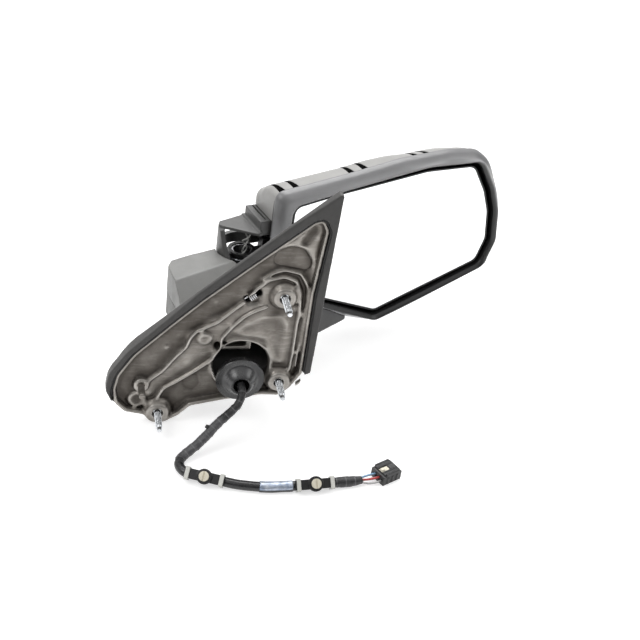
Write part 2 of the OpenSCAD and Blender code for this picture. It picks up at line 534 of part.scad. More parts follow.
module head_frame() color([0.20, 0.20, 0.21]) in_head() difference() {
  union() {
    rotate([0, 0, 22.5]) translate([0, 0, hub_z]) cylinder(h = 65 - hub_z, r = hub_r, $fn = 8);
    translate([6, -10, hub_z + 1]) cube([24, 20, 63 - hub_z]);
    translate([22, -9, hub_z + 1]) cube([6, 18, 14]);
    translate([22, arm_y, hub_z + 1]) cube([30, 6 + frame_t, 62]);
    intersection() {
      slab(rounded([[24, 50], [70, 48], [120, 12], [180, 12], [215, 40], [215, 110], [213, 150], [196, 150],
        [160, 128], [120, 122], [66, 141], [52, 138], [40, 116], [24, 112]],
        [4, 20, 30, 30, 20, 20, 5, 5, 20, 20, 5, 5, 5, 4]), frame_y, frame_y + frame_t);
      slab(rounded(inset(bezel_pts, shell_wall + 14.2), 8), frame_y - 1, frame_y + frame_t + 1);
    }
    for (p = [frame_screw_at[0]]) {
      rod(p, 3.3, ear_y, ear_y + ear_t);
      translate([p[0] - 3.3, ear_y, p[1] - 13]) cube([6.6, ear_t, 13]);
      translate([p[0] - 5, ear_y, p[1] - 14]) cube([10, frame_y + 1 - ear_y, 3]);
    }
  }
  translate([0, 0, 40]) cylinder(h = 60, r = post_r + run);
  translate([0, 0, hub_z + 4.6]) cylinder(h = 60, r = post_r + 4.2);
  translate([0, 0, hub_z - 1]) cylinder(h = 3, r = 15.2);
  rod([turn_x, turn_z], 17, 0, 30);
  for (p = [[72, 84], [100, 84]]) rod(p, 10, 0, 30);
  slab(rounded([[187, 112], [198, 112], [197, 126], [193, 128]], 3), 0, 30);
  for (p = [tilt_at, pan_at]) rod(p, jack_d / 2 + 1.5, 0, 30);
  for (a = [45:90:315]) rod([turn_x, turn_z] + 38 * [cos(a), sin(a)], 1.5, 0, 30);
  for (p = frame_screw_at) {
    rod(p, 1.6, p[2] - 1, p[2] + 20);
    rod(p, 3.6, p[2] + ear_t, p[2] + 20);
  }
}

module detent_ring_upper() color([0.50, 0.50, 0.50]) in_head() difference() {
  tube(15.2 - fit, post_r + 0.4, hub_z, hub_z + 2 - fit);
  for (a = [20, 140, 260]) rotate([0, 0, a - head_angle]) rotate([0, 90, 0]) translate([-hub_z, 0, post_r])
    cylinder(h = 6, r = 1.2);
}

module bezel_form() hull() {
  slab(rounded(bezel_pts, bezel_rad), -bezel_front + 10, -bezel_back);
  slab(rounded(inset(bezel_pts, 1.6), bezel_rad), -bezel_front + 6, -bezel_front + 6.1);
  slab(rounded(inset(bezel_pts, 5), bezel_rad), -bezel_front + 2.2, -bezel_front + 2.3);
  slab(rounded(inset(glass_pts, -7.2), glass_rad), -bezel_front, -bezel_front + 0.1);
}
module bezel() color([0.33, 0.33, 0.34]) in_head() difference() {
  union() {
    difference() {
      bezel_form();
      slab(rounded(inset(bezel_pts, shell_wall), [for (r = bezel_rad) max(1, r - shell_wall)]), plate_y, 0);
    }
    for (p = frame_screw_at) rod(p, 2.7, plate_y - 3, p[2] - fit);
  }
  slab(rounded(inset(glass_pts, -plate_rim - glass_gap), [for (r = glass_rad) r + 3]), -bezel_front - 1, plate_y + 0.1);
  hull() {
    slab(rounded(inset(glass_pts, -6.2), [for (r = glass_rad) r + 4]), -bezel_front - 1, -bezel_front + 0.2);
    slab(rounded(inset(glass_pts, -plate_rim - glass_gap), [for (r = glass_rad) r + 3]), -bezel_front + 3.4, -bezel_front + 3.5);
  }
  for (p = frame_screw_at) rod(p, 1.2, p[2] - 11, p[2] + 1);
}

// One slice of the housing shell: y, how far in from the bezel's outline, and its inner end
house_steps = [[-bezel_back, 2, 0], [-8, 3.2, 0], [0, 5, 0], [8, 9, 0], [17, 16, 0.6], [26, 25, 9], [33, 36, 22], [38, 50, 42]];
module house_form(x0, i) hull() for (s = house_steps)
  slab(rounded(house_pts(s[1] + i, x0 + s[2] + i), 7 + max(-10, s[0]) / 4), (s[0] == -bezel_back ? fit : -i) + s[0],
    (s[0] == -bezel_back ? 1 : 0.1 - i) + s[0]);
module house_shell(x0) difference() {
  house_form(x0, 0);
  translate([0, -0.01, 0]) house_form(x0, shell_wall);
}
slot_x = [25.8, 39.6, 95.5, 109.2, 163.4, 176];
module slot(x) translate([x, -bezel_back, 112]) linear_extrude(60) polygon([[-slot_w / 2, 0.7], [slot_w / 2, 0.7],
  [slot_w * 0.42, 25], [-slot_w * 0.02, 25]]);
module upper_housing() color([0.74, 0.74, 0.73]) in_head() difference() {
  intersection() {
    house_shell(17.4);
    translate([0, -20, split_z + fit]) cube([head_length + 40, 80, head_height]);
  }
  translate([0, -bezel_back - 2, 0]) cube([24.5, 70, 105.4]);
  for (x = slot_x) slot(x);
}
module lower_housing() color([0.24, 0.24, 0.25]) in_head() difference() {
  intersection() {
    house_shell(24.6);
    translate([0, -20, -60]) cube([head_length + 40, 80, 60 + split_z]);
  }
  translate([20, -bezel_back - 0.5, hub_z + 0.5]) cube([10, bezel_back + 12, 40]);
}

// Lower edge of the bezel, as a height over x, and the small cover that hangs from it
function bezel_low(x) = bezel_pts[0][1] - fit * 1.2 + (x - bezel_pts[0][0]) * (bezel_pts[1][1] - bezel_pts[0][1])
  / (bezel_pts[1][0] - bezel_pts[0][0]);
lower_pts = [[25, bezel_low(25)], [25, 6], [44, -19], [76.5, -18], [99, bezel_low(99) - 2.4], [100, bezel_low(100)]];
module lower_cover() color([0.28, 0.28, 0.29]) in_head() difference() {
  slab(rounded(lower_pts, [0.5, 8, 8, 6, 1, 0.5]), -bezel_front + 3.5, 2);
  slab(rounded([[27.4, bezel_low(27.4) + 8], [27.4, 7], [45, -16.6], [75.5, -15.7], [94, bezel_low(94) - 1.5],
    [94, bezel_low(94) + 8]], [0.5, 6, 6, 4, 1, 0.5]), -bezel_front + 5.9, 3);
}

module pivot_shroud() color([0.42, 0.42, 0.42]) in_head() difference() {
  union() {
    // roof
    intersection() {
      translate([0, 0, roof_z - 3]) linear_extrude(3) polygon([[-22.4, 5.6], [-19.6, 11.4], [7.4, 18], [9, 18],
        [9, -19.8], [5.4, -19.8], [-19.3, 1.4]]);
      translate([0, 0, roof_z - 3]) cylinder(h = 10, r = shroud_r + 12, $fn = 96);
    }
    // bevelled ridge beside the roof
    translate([5.6, -19.6, roof_z - 3]) cube([2.4, 37.6, 4.2]);
    // wall round the pivot, its near edge sloping
    intersection() {
      tube(shroud_r, shroud_r - 4.4, 66, roof_z - 3);
      union() {
        translate([-30, 0, 60]) rotate([90, 0, 90]) linear_extrude(14) polygon([[-11.4, 0], [11.5, 0], [11.5, 40], [3.4, 40],
          [-11.4, 6]]);
        translate([-30, 0, 60]) cube([44, 30, 16.5]);
      }
    }
    // step block, joining the shroud to the housing's inner end
    difference() {
      translate([7.8, -16, roof_z - 5]) cube([14.5, 32.5, 105 - roof_z + 5 - 0.5]);
      translate([13.8, -13, 100.5]) cube([1.4, 28, 6]);
    }
    translate([11, 12, 66]) cube([13, 8, 30]);
    translate([17.6, -8, roof_z - 5]) cube([10, 24, 14.2]);
  }
  translate([0, 0, 60]) cylinder(h = roof_z - 3 - 60, r = shroud_r - 4.4, $fn = 96);
  translate([21.9, -12, 50]) cube([16, 23.5, 60]);
  translate([17.2, -40, 60]) cube([20, 40 - bezel_back + 0.2, 60]);
}

module frame_screws() color([0.70, 0.70, 0.72]) in_head() for (p = frame_screw_at) difference() {
  union() {
    rod(p, 3.1, p[2] + ear_t + 0.05, p[2] + ear_t + 2.2);
    rod(p, 1.15, p[2] - 10, p[2] + ear_t + 1);
  }
  translate([p[0], p[2] + ear_t + 3, p[1]]) rotate([90, 0, 0]) cylinder(h = 2, d = 3, $fn = 6);
}

module adjuster_case() color([0.14, 0.14, 0.15]) in_head() translate([turn_x, 0, turn_z]) difference() {
  union() {
    rod([0, 0], case_d / 2, case_y, case_y + case_len - lid_t - fit);
    for (s = [-1, 1]) translate([s * (7.5 + 2.8) - 1.4, turn_y - 2.5, -3.5]) cube([2.8, 9, 7]);
  }
  rod([0, 0], case_d / 2 - case_wall, case_y + case_wall, 30);
  rotate([0, 90, 0]) translate([0, turn_y, -20]) cylinder(h = 40, r = gimbal_pin_d / 2 + run);
  for (p = [[0, screw_reach], [screw_reach, 0]]) rod(p, jack_d / 2 + 0.5, case_y - 1, case_y + 5);
}
module adjuster_lid() color([0.17, 0.17, 0.18]) in_head() translate([turn_x, 0, turn_z]) difference() {
  union() {
    rod([0, 0], case_d / 2, case_y + case_len - lid_t, case_y + case_len);
    rod([0, 0], case_d / 2 - case_wall - fit, case_y + case_len - lid_t - 2, case_y + case_len - lid_t + 0.1);
  }
  rod([0, 0], case_d / 2 - case_wall - 2, case_y, case_y + case_len - lid_t);
  for (p = [[0, screw_reach], [screw_reach, 0]]) rod(p, jack_d / 2 + 0.6, case_y, case_y + case_len + 1);
}
module motor() {
  rotate([0, 90, 0]) cylinder(h = 22, d = 11);
  translate([22, 0, 0]) rotate([0, 90, 0]) cylinder(h = 1.5, d = 5);
  translate([23, 0, 0]) rotate([0, 90, 0]) cylinder(h = 6, d = 3.4);
}
module drive_motors() color([0.72, 0.72, 0.70]) in_head() translate([turn_x, case_y + 7.6, turn_z]) {
  translate([-34, 0, 10]) rotate([0, -10, 0]) motor();
  translate([10, 0, -34]) rotate([0, -80, 0]) motor();
}

head_wire_path = [[10, -7, 88], [14, -5.5, 84.5], [19, -4.5, 80], [25, -4, 78], [33, -3.5, 78], [42, -1.5, 80],
  [62, 2, 83], [84, 3.5, 85], [98, 1.5, 84], [107.6, 0, 82]];
module head_wires() color([0.08, 0.08, 0.08]) in_head() cord(smooth_path(head_wire_path, 3), [1.6], 10);

module jack_nut(p) difference() {
  union() {
    rod(p, nut_r, case_y + 4, case_y + 4 + nut_len);
    rod(p, nut_r - 4, case_y + 2.4, case_y + 12);
    for (a = [0:20:340]) translate([p[0], case_y + 4, p[1]]) rotate([0, a, 0]) translate([nut_r - 0.4, 0, -0.5])
      cube([1.1, nut_len, 1]);
  }
  rod(p, jack_d / 2 + run, 0 + case_y - 5, case_y + 20);
}
module tilt_nut() color([0.86, 0.86, 0.82]) in_head() jack_nut(tilt_at);
module pan_nut() color([0.86, 0.86, 0.82]) in_head() jack_nut(pan_at);
module jack_screw(p) {
  translate([p[0], turn_y, p[1]]) sphere(r = 3.2);
  rod(p, 1.9, turn_y, case_y + 1);
  rod(p, jack_d / 2, turn_y + 4.5, case_y + 15.6);
}
module tilt_screw() color([0.88, 0.88, 0.86]) in_head() jack_screw(tilt_at);
module pan_screw() color([0.88, 0.88, 0.86]) in_head() jack_screw(pan_at);

module gimbal() color([0.75, 0.75, 0.72]) in_head() translate([turn_x, turn_y, turn_z]) difference() {
  union() {
    rotate([90, 0, 0]) translate([0, 0, -1.9]) cylinder(h = 3.8, r = 8);
    rotate([0, 90, 0]) translate([0, 0, -11.4]) cylinder(h = 22.8, d = gimbal_pin_d);
    translate([0, 0, -11.4]) cylinder(h = 22.8, d = gimbal_pin_d);
  }
  rotate([90, 0, 0]) translate([0, 0, -5]) cylinder(h = 10, r = 4.4);
}

module backing_plate() color([0.10, 0.10, 0.10]) in_head() difference() {
  union() {
    slab(rounded(inset(glass_pts, -plate_rim), glass_rad), glass_y - 0.4, plate_back);
    for (s = [-1, 1]) translate([turn_x - 3.5, plate_back - 0.5, turn_z + s * (7.5 + 2.8) - 1.4])
      cube([7, turn_y + 2.2 - plate_back + 0.5, 2.8]);
    for (p = [tilt_at, pan_at]) rod(p, 6, plate_back - 0.5, turn_y + 1.6);
    for (x = [70, 226]) translate([x, plate_back - 0.2, 30]) cube([1.6, 2, 74]);
    for (z = [30, 102]) translate([70, plate_back - 0.2, z]) cube([157, 2, 1.6]);
  }
  slab(rounded(inset(glass_pts, -fit), glass_rad), glass_y - 2, plate_y);
  translate([turn_x, turn_y, turn_z - 20]) cylinder(h = 40, r = gimbal_pin_d / 2 + run);
  for (p = [tilt_at, pan_at]) {
    translate([p[0], turn_y, p[1]]) sphere(r = 3.9);
    rod(p, 3.4, turn_y, turn_y + 10);
  }
}
module heater_pad() color([0.55, 0.25, 0.15]) in_head()
  slab(rounded(inset(glass_pts, 1.5), glass_rad), heater_y + 0.05, plate_y - 0.05);
module mirror_glass() color([0.86, 0.90, 0.92]) in_head() slab(rounded(glass_pts, glass_rad), glass_y, heater_y);

base_casting();
sail_cover();
cover_seal();
arm_cover_upper();
arm_cover_lower();
arm_screws();
mounting_studs();
locating_pin();
casting_clip();
pivot_post();
detent_ring_lower();
pivot_spring();
spring_retainer();
pivot_wires();
cable_grommet();
harness_cable();
harness_clips();
clip_straps();
clip_buttons();
label_sleeve();
tape_tab();
harness_leads();
connector_body();
connector_latch();
head_frame();
detent_ring_upper();
bezel();
upper_housing();
lower_housing();
lower_cover();
pivot_shroud();
frame_screws();
adjuster_case();
adjuster_lid();
drive_motors();
head_wires();
tilt_nut();
pan_nut();
tilt_screw();
pan_screw();
gimbal();
backing_plate();
heater_pad();
mirror_glass();
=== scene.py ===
import math
from contextlib import contextmanager

import bmesh
import bpy
import numpy as np
from mathutils import Matrix, Vector
from mathutils.bvhtree import BVHTree


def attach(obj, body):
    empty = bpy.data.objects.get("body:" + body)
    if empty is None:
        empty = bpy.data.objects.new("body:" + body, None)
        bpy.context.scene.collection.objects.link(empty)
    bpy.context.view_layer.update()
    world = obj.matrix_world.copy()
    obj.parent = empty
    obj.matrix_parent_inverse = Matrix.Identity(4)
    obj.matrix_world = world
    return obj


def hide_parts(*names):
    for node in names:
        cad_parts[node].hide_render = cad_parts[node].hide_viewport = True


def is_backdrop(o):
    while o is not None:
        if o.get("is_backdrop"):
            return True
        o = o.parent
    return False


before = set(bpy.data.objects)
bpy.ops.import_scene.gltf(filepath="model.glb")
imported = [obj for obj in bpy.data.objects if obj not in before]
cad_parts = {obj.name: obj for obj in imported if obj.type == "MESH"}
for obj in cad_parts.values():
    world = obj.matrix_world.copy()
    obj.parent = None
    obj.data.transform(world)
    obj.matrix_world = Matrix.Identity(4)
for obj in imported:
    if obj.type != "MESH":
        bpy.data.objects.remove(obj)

MM = 0.001
TAU = math.tau
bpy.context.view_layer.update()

# -------- camera
W = H = 640
AZIMUTH, ELEVATION, ROLL = -15.8, 33.0, 9.0
FOCAL_PX = 1125.0
SENSOR = 36.0
# Where the frame's origin shows in the photograph, and how far it is from the camera in mm
ORIGIN_PX, ORIGIN_DEPTH = (278.7, 382.8), 978.26


def place(name, data):
    o = bpy.data.objects.new(name, data)
    bpy.context.scene.collection.objects.link(o)
    return o


def camera_matrix():
    a, e, rho = (math.radians(v) for v in (AZIMUTH, ELEVATION, ROLL))
    back = Vector((math.sin(a) * math.cos(e), -math.cos(a) * math.cos(e), math.sin(e)))
    right = Vector((math.cos(a), math.sin(a), 0))
    up = back.cross(right)
    r = math.cos(rho) * right + math.sin(rho) * up
    u = -math.sin(rho) * right + math.cos(rho) * up
    x, y = (ORIGIN_PX[0] - W / 2) / FOCAL_PX, -(ORIGIN_PX[1] - H / 2) / FOCAL_PX
    m = Matrix((r, u, back)).transposed().to_4x4()
    m.translation = (r * x + u * y - back) * -ORIGIN_DEPTH * MM
    return m


CAMERA = camera_matrix()
cam_data = bpy.data.cameras.new("camera")
cam_data.sensor_fit, cam_data.sensor_width, cam_data.lens = "AUTO", SENSOR, FOCAL_PX / W * SENSOR
cam_data.clip_start, cam_data.clip_end = 0.01, 20
camera = place("camera", cam_data)
camera.matrix_world = CAMERA
bpy.context.scene.camera = camera
TO_CAMERA = np.array(CAMERA.inverted())


# -------- materials
def lin(*c):
    c = [v / 255 for v in c]
    return tuple(v / 12.92 if v <= 0.04045 else ((v + 0.055) / 1.055) ** 2.4 for v in c) + (1.0,)


def tint(color, gain, lift=0.0):
    return tuple(min(1, c * gain + lift) for c in color[:3]) + (1.0,)


class Graph:
    """Short calls that build a node tree."""

    def __init__(self, tree):
        self.tree = tree

    def give(self, socket, value):
        """Sets an input to a value, or links it to another node's output."""
        if isinstance(value, (int, float, tuple)):
            socket.default_value = value
        else:
            self.tree.links.new(value, socket)

    def node(self, kind, *values, **settings):
        """Adds a node. values are (input, value or output) pairs, settings are its own properties."""
        n = self.tree.nodes.new("ShaderNode" + kind)
        for key, v in settings.items():
            setattr(n, key, v)
        for key, v in values:
            self.give(n.inputs[key], v)
        return n

    def calc(self, operation, a, b):
        return self.node("Math", (0, a), (1, b), operation=operation).outputs[0]


class Nodes(Graph):
    """A procedural material. Coordinates are the object's own, in metres."""

    def __init__(self, name):
        self.mat = bpy.data.materials.new(name)
        self.mat.use_nodes = True
        super().__init__(self.mat.node_tree)
        self.shader = self.tree.nodes["Principled BSDF"]
        self.co = self.node("TexCoord").outputs["Object"]

    def stretch(self, scale, turn=(0, 0, 0)):
        return self.node("Mapping", ("Scale", scale), ("Rotation", turn), ("Vector", self.co)).outputs[0]

    def noise(self, size_mm, detail=2.0, rough=0.5, twist=0.0, co=None):
        return self.node("TexNoise", ("Scale", 1 / (size_mm * MM)), ("Detail", detail), ("Roughness", rough),
                         ("Distortion", twist), ("Vector", co or self.co)).outputs["Fac"]

    def attr(self, name):
        return self.node("Attribute", attribute_name=name).outputs["Fac"]

    def axis(self, i):
        return self.node("SeparateXYZ", (0, self.co)).outputs[i]

    def fit(self, v, lo, hi, a=0.0, b=1.0):
        """Maps the range lo to hi onto the range a to b."""
        return self.node("MapRange", ("Value", v), ("From Min", lo), ("From Max", hi),
                         ("To Min", a), ("To Max", b)).outputs[0]

    def clouds(self, size_mm, detail, rough, a=0.0, b=1.0):
        """Soft noise that runs from a to b."""
        return self.fit(self.noise(size_mm, detail, rough), 0.3, 0.7, a, b)

    def mix(self, f, a, b):
        return self.node("Mix", ("Factor", f), (6, a), (7, b), data_type="RGBA").outputs[2]

    def relief(self, *parts):
        """Bumps the surface by a sum of (height, weight in mm)."""
        total = None
        for v, w in parts:
            v = self.calc("MULTIPLY", v, w)
            total = v if total is None else self.calc("ADD", total, v)
        n = self.node("Bump", ("Distance", MM), ("Strength", 1.0), ("Height", total))
        self.give(self.shader.inputs["Normal"], n.outputs[0])

    def done(self, color, rough, **others):
        values = {"Base Color": color, "Roughness": rough}
        values.update((k.replace("_", " "), v) for k, v in others.items())
        for key, v in values.items():
            self.give(self.shader.inputs[key], v)
        return self.mat


def moulded(name, color, rough, grain, depth, shade, edge, spec=0.5):
    """Moulded plastic: a fine grain, faint flow clouds, edges rubbed a little lighter with painted highlight,
    and painted shade in the corners.
    The mesh attributes for the ridge and the underside add painted highlight and painted light, and the one
    for the inside adds painted shade."""
    n = Nodes(name)
    rub_and_sheen = tint(color, 1.7, 0.03)
    base = n.mix(n.clouds(16, 4, 0.6), tint(color, 1 - shade), tint(color, 1 + shade))
    base = n.mix(n.fit(n.noise(0.9, 3, 0.7), 0.62, 0.85, 0, 0.22), base, rub_and_sheen)
    # Convex edges lighter: rubbed wear and painted highlight.
    base = n.mix(n.fit(n.attr("edge"), 0.10, 0.5, 0, edge), base, rub_and_sheen)
    # Painted shade: concave corners darker.
    base = n.mix(n.fit(n.attr("edge"), -0.06, -0.4, 0, 0.45), base, tint(color, 0.45))
    # Painted highlight along the ridge.
    base = n.mix(n.fit(n.attr("ridge"), 0, 0.9, 0, 0.85), base, tint(color, 2.1, 0.02))
    # Painted light: lower outer slopes lightened as if lit from below.
    base = n.mix(n.fit(n.attr("painted_underside_light"), 0, 0.9, 0, 0.9), base, lin(236, 236, 238))
    # Painted shade: the insides darkened nearly to black.
    base = n.mix(n.fit(n.attr("inner"), 0.05, 0.9, 0, 0.92), base, lin(14, 14, 15))
    n.relief((n.noise(grain, 2, 0.6), depth), (n.noise(grain * 7, 2, 0.5), depth * 0.8))
    return n.done(base, n.clouds(7, 4, 0.6, rough - 0.06, rough + 0.07), Specular_IOR_Level=spec)


def cast_alloy(name):
    """Die-cast alloy with a satin skin: soft flow clouds, streaks of painted highlight, ridges lighter from
    wear and painted highlight, and painted shade in the hollows.
    """
    n = Nodes(name)
    base = n.mix(n.fit(n.noise(30, 3, 0.5, 0.4), 0.35, 0.65), lin(126, 121, 115), lin(154, 149, 143))
    base = n.mix(n.fit(n.noise(6, 5, 0.65, 0.6), 0.45, 0.75, 0, 0.30), base, lin(96, 90, 84))
    base = n.mix(n.fit(n.noise(1.6, 4, 0.8), 0.60, 0.78, 0, 0.30), base, lin(190, 186, 180))
    # Painted highlight: long streaks of sheen across the face.
    painted_sheen_streak = n.noise(5, 4, 0.6, co=n.stretch((0.35, 1, 1.6), (0, math.radians(-42), 0)))
    base = n.mix(n.fit(painted_sheen_streak, 0.50, 0.74, 0, 0.6), base, lin(186, 182, 176))
    # Painted shade in bowls, hollows and corners; painted highlight on proud places; edges lighter from wear
    # and painted highlight.
    for mark, start, full, strength, color in (
            ("bowl_shade", -0.1, 0.9, 0.55, lin(66, 61, 56)), ("hollow", 0.03, 0.7, 0.75, lin(60, 55, 50)),
            ("hollow", -0.10, -0.8, 0.40, lin(188, 184, 178)), ("edge", 0.08, 0.45, 0.6, lin(216, 213, 208)),
            ("edge", -0.05, -0.30, 0.8, lin(46, 42, 38))):
        base = n.mix(n.fit(n.attr(mark), start, full, 0, strength), base, color)
    rough = n.calc("SUBTRACT", n.clouds(4, 4, 0.7, 0.36, 0.52), n.fit(n.attr("edge"), 0.05, 0.3, 0, 0.12))
    n.relief((n.noise(7, 3, 0.5), 0.32), (n.noise(1.1, 4, 0.7), 0.07), (n.noise(0.35, 2, 0.6), 0.02))
    return n.done(base, rough, Metallic=0.78)


def metal(name, color, rough, mottle, brush=None):
    """Plain metal. brush stretches its finest grain."""
    n = Nodes(name)
    base = n.mix(n.clouds(3, 4, 0.7), tint(color, 1 - mottle), tint(color, 1 + mottle))
    grain = n.noise(0.4, 2, 0.6, co=n.stretch(brush) if brush else None)
    n.relief((grain, 0.01), (n.noise(2.5, 3, 0.6), 0.01))
    return n.done(base, n.clouds(1.6, 3, 0.7, rough - 0.08, rough + 0.1), Metallic=1.0)


def plastics(rows):
    """Moulded materials from rows of name, colour, roughness, grain, its depth, shading, edge wear and
    painted highlight, gloss.
    """
    return [moulded(name, lin(*color), *values) for name, color, *values in rows]


(GREY_BEZEL, GREY_SAIL, GREY_ARM, GREY_ARM_SHADED, GREY_SHROUD, SHELL_LIGHT, SHELL_DARK, SHELL_LOW, BLACK,
 SLOT_SHADE, BLACK_FRAME, RUBBER, GROMMET, CREAM, STRAP, ACETAL) = plastics((
     ("bezel_plastic", (114, 114, 115), 0.34, 0.30, 0.018, 0.06, 0.55, 0.6),
     ("sail_plastic", (66, 65, 64), 0.52, 0.55, 0.05, 0.12, 0.8),
     ("arm_plastic", (114, 114, 112), 0.44, 0.40, 0.022, 0.07, 0.35),
     # Painted shade: the arm plastic made darker for the lower cover.
     ("arm_low_plastic", (98, 98, 96), 0.48, 0.40, 0.022, 0.07, 0.35),
     ("shroud_plastic", (82, 82, 81), 0.42, 0.35, 0.02, 0.08, 0.6),
     ("shell_plastic", (146, 145, 143), 0.36, 0.5, 0.012, 0.06, 0.3),
     ("shell_dark_plastic", (60, 60, 61), 0.50, 0.5, 0.04, 0.1, 0.4),
     ("lower_cover_plastic", (92, 92, 92), 0.42, 0.5, 0.03, 0.08, 0.5),
     ("black_plastic", (26, 26, 27), 0.42, 0.4, 0.02, 0.15, 0.25),
     # Painted shade: the matt black of the sheet seen through the slots.
     ("slot_black", (6, 6, 6), 0.85, 0.4, 0.01, 0.1, 0.0, 0.02),
     ("frame_plastic", (44, 44, 46), 0.5, 0.5, 0.03, 0.15, 0.3),
     ("seal_rubber", (22, 22, 22), 0.66, 0.3, 0.02, 0.15, 0.2),
     ("grommet_rubber", (58, 58, 59), 0.28, 0.4, 0.02, 0.15, 0.7, 0.8),
     ("cream_plastic", (214, 208, 190), 0.42, 0.3, 0.01, 0.05, 0.3),
     ("strap_plastic", (206, 206, 200), 0.38, 0.3, 0.01, 0.06, 0.3),
     ("acetal", (226, 224, 214), 0.4, 0.3, 0.01, 0.04, 0.2)))
CAST = cast_alloy("cast_alloy")
ZINC = metal("zinc_plate", lin(214, 217, 220), 0.26, 0.12)
STEEL = metal("spring_steel", lin(170, 172, 176), 0.3, 0.15)
TUBE = metal("tube_steel", lin(160, 160, 162), 0.34, 0.1, brush=(0.2, 0.2, 3))
CLIP_METAL = metal("clip_wire", lin(222, 222, 224), 0.22, 0.1)


def glass_material():
    n = Nodes("mirror_front")
    n.relief((n.noise(60, 1, 0.4), 0.002))
    return n.done(n.mix(n.clouds(90, 2, 0.4), lin(250, 252, 253), lin(255, 255, 255)), 0.02, Metallic=1.0)


def glass_edge_material():
    n = Nodes("glass_edge")
    n.relief((n.noise(0.6, 3, 0.6), 0.03))
    return n.done(n.mix(n.clouds(4, 3, 0.6), lin(196, 206, 206), lin(236, 242, 242)), 0.18)


def tape_material():
    """Wrapped cloth and vinyl tape near the grommet, a smooth sleeve after it."""
    n = Nodes("harness_tape")
    tape, wrap = n.attr("tape"), n.attr("wrap")
    base = n.mix(n.clouds(6, 4, 0.7), lin(17, 17, 18), lin(44, 44, 46))
    base = n.mix(n.calc("MULTIPLY", tape, n.fit(n.attr("grey"), 0, 1, 0, 0.8)), base, lin(88, 88, 90))
    base = n.mix(n.calc("MULTIPLY", tape, n.fit(wrap, 0.80, 1.0, 0, 0.55)), base, lin(128, 128, 130))
    n.relief((n.calc("MULTIPLY", tape, n.noise(1.5, 4, 0.7)), 0.5), (n.noise(0.5, 2, 0.6), 0.03))
    rough = n.calc("ADD", n.clouds(3, 3, 0.6, 0.22, 0.38), n.calc("MULTIPLY", tape, 0.08))
    return n.done(base, rough, Specular_IOR_Level=0.6)


def label_material():
    """A bare foil wrap: pale blue-silver on top, black sleeve below."""
    n = Nodes("label_film")
    foil_from, foil_full = -0.0395, -0.0382
    top = n.fit(n.axis(2), foil_from, foil_full)
    foil = n.mix(n.fit(n.noise(5, 4, 0.6), 0.35, 0.65), lin(150, 164, 186), lin(212, 218, 228))
    n.relief((n.noise(2.2, 3, 0.6), 0.10), (n.noise(0.5, 2, 0.5), 0.02))
    return n.done(n.mix(top, lin(24, 24, 26), foil), n.clouds(3, 3, 0.6, 0.26, 0.42),
                  Metallic=n.fit(n.axis(2), foil_from, foil_full, 0, 0.55))


def wire_material(name, color):
    n = Nodes(name)
    n.relief((n.noise(1.2, 3, 0.6), 0.05))
    return n.done(n.mix(n.clouds(3, 3, 0.6), tint(color, 0.72), color), n.clouds(2, 2, 0.5, 0.3, 0.45))


# -------- mesh helpers
def add(name, verts, faces, smooth=True):
    me = bpy.data.meshes.new(name)
    me.from_pydata([tuple(v) for v in verts], [], faces)
    me.update()
    if smooth:
        me.polygons.foreach_set("use_smooth", [True] * len(me.polygons))
    return place(name, me)


@contextmanager
def edited(o):
    bm = bmesh.new()
    bm.from_mesh(o.data)
    yield bm
    bm.to_mesh(o.data)
    bm.free()


def outward(o):
    """Welds doubled points and turns every face outward."""
    with edited(o) as bm:
        bmesh.ops.remove_doubles(bm, verts=bm.verts, dist=2e-6)
        bmesh.ops.recalc_face_normals(bm, faces=bm.faces)
    return o


def settle(o):
    """Applies the object's modifiers."""
    deps = bpy.context.evaluated_depsgraph_get()
    me = bpy.data.meshes.new_from_object(o.evaluated_get(deps))
    o.modifiers.clear()
    o.data = me
    me.polygons.foreach_set("use_smooth", [True] * len(me.polygons))
    me.materials.clear()
    return o


def gathered(objs):
    verts, faces = [], []
    for o in objs:
        base = len(verts)
        verts += [o.matrix_world @ v.co for v in o.data.vertices]
        faces += [[base + i for i in p.vertices] for p in o.data.polygons]
    return verts, faces


def join(name, objs):
    verts, faces = gathered(objs)
    for o in objs:
        bpy.data.objects.remove(o)
    return add(name, verts, faces)


def cad(node):
    """A working copy of a CAD node's mesh."""
    o = place(node + "_look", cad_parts[node].data.copy())
    o.data.materials.clear()
    return outward(o)


def soften(o, voxel, rounds):
    """Remeshes at voxel mm and rounds the edges, as a casting's or moulding's are."""
    m = o.modifiers.new("r", "REMESH")
    m.mode, m.voxel_size = "VOXEL", voxel * MM
    s = o.modifiers.new("s", "SMOOTH")
    s.factor, s.iterations = 0.5, rounds
    return settle(o)


def cut(o, *tools):
    for t in tools:
        m = o.modifiers.new("b", "BOOLEAN")
        m.operation, m.solver, m.object = "DIFFERENCE", "EXACT", t
        settle(o)
        bpy.data.objects.remove(t)
    return o


def arrays(o):
    """The places and normals of an object's points, and the two ends of each edge."""
    me = o.data
    co = np.zeros(len(me.vertices) * 3, np.float32)
    me.vertices.foreach_get("co", co)
    no = np.zeros(len(me.vertices) * 3, np.float32)
    me.vertices.foreach_get("normal", no)
    ed = np.zeros(len(me.edges) * 2, np.int32)
    me.edges.foreach_get("vertices", ed)
    return co.reshape(-1, 3), no.reshape(-1, 3), ed.reshape(-1, 2)


def neighbour_sum(v, ed):
    return np.bincount(ed[:, 0], v[ed[:, 1]], len(v)) + np.bincount(ed[:, 1], v[ed[:, 0]], len(v))


def neighbour_count(ed, n):
    return np.bincount(ed.ravel(), minlength=n) + 1e-9


def spread(v, ed, rounds):
    """Averages each point's value with its neighbours', again and again."""
    count = neighbour_count(ed, len(v))
    for _ in range(rounds):
        v = 0.5 * v + 0.5 * neighbour_sum(v, ed) / count
    return v


def put(o, name, values):
    a = o.data.attributes.get(name) or o.data.attributes.new(name, "FLOAT", "POINT")
    a.data.foreach_set("value", np.asarray(values, np.float32))


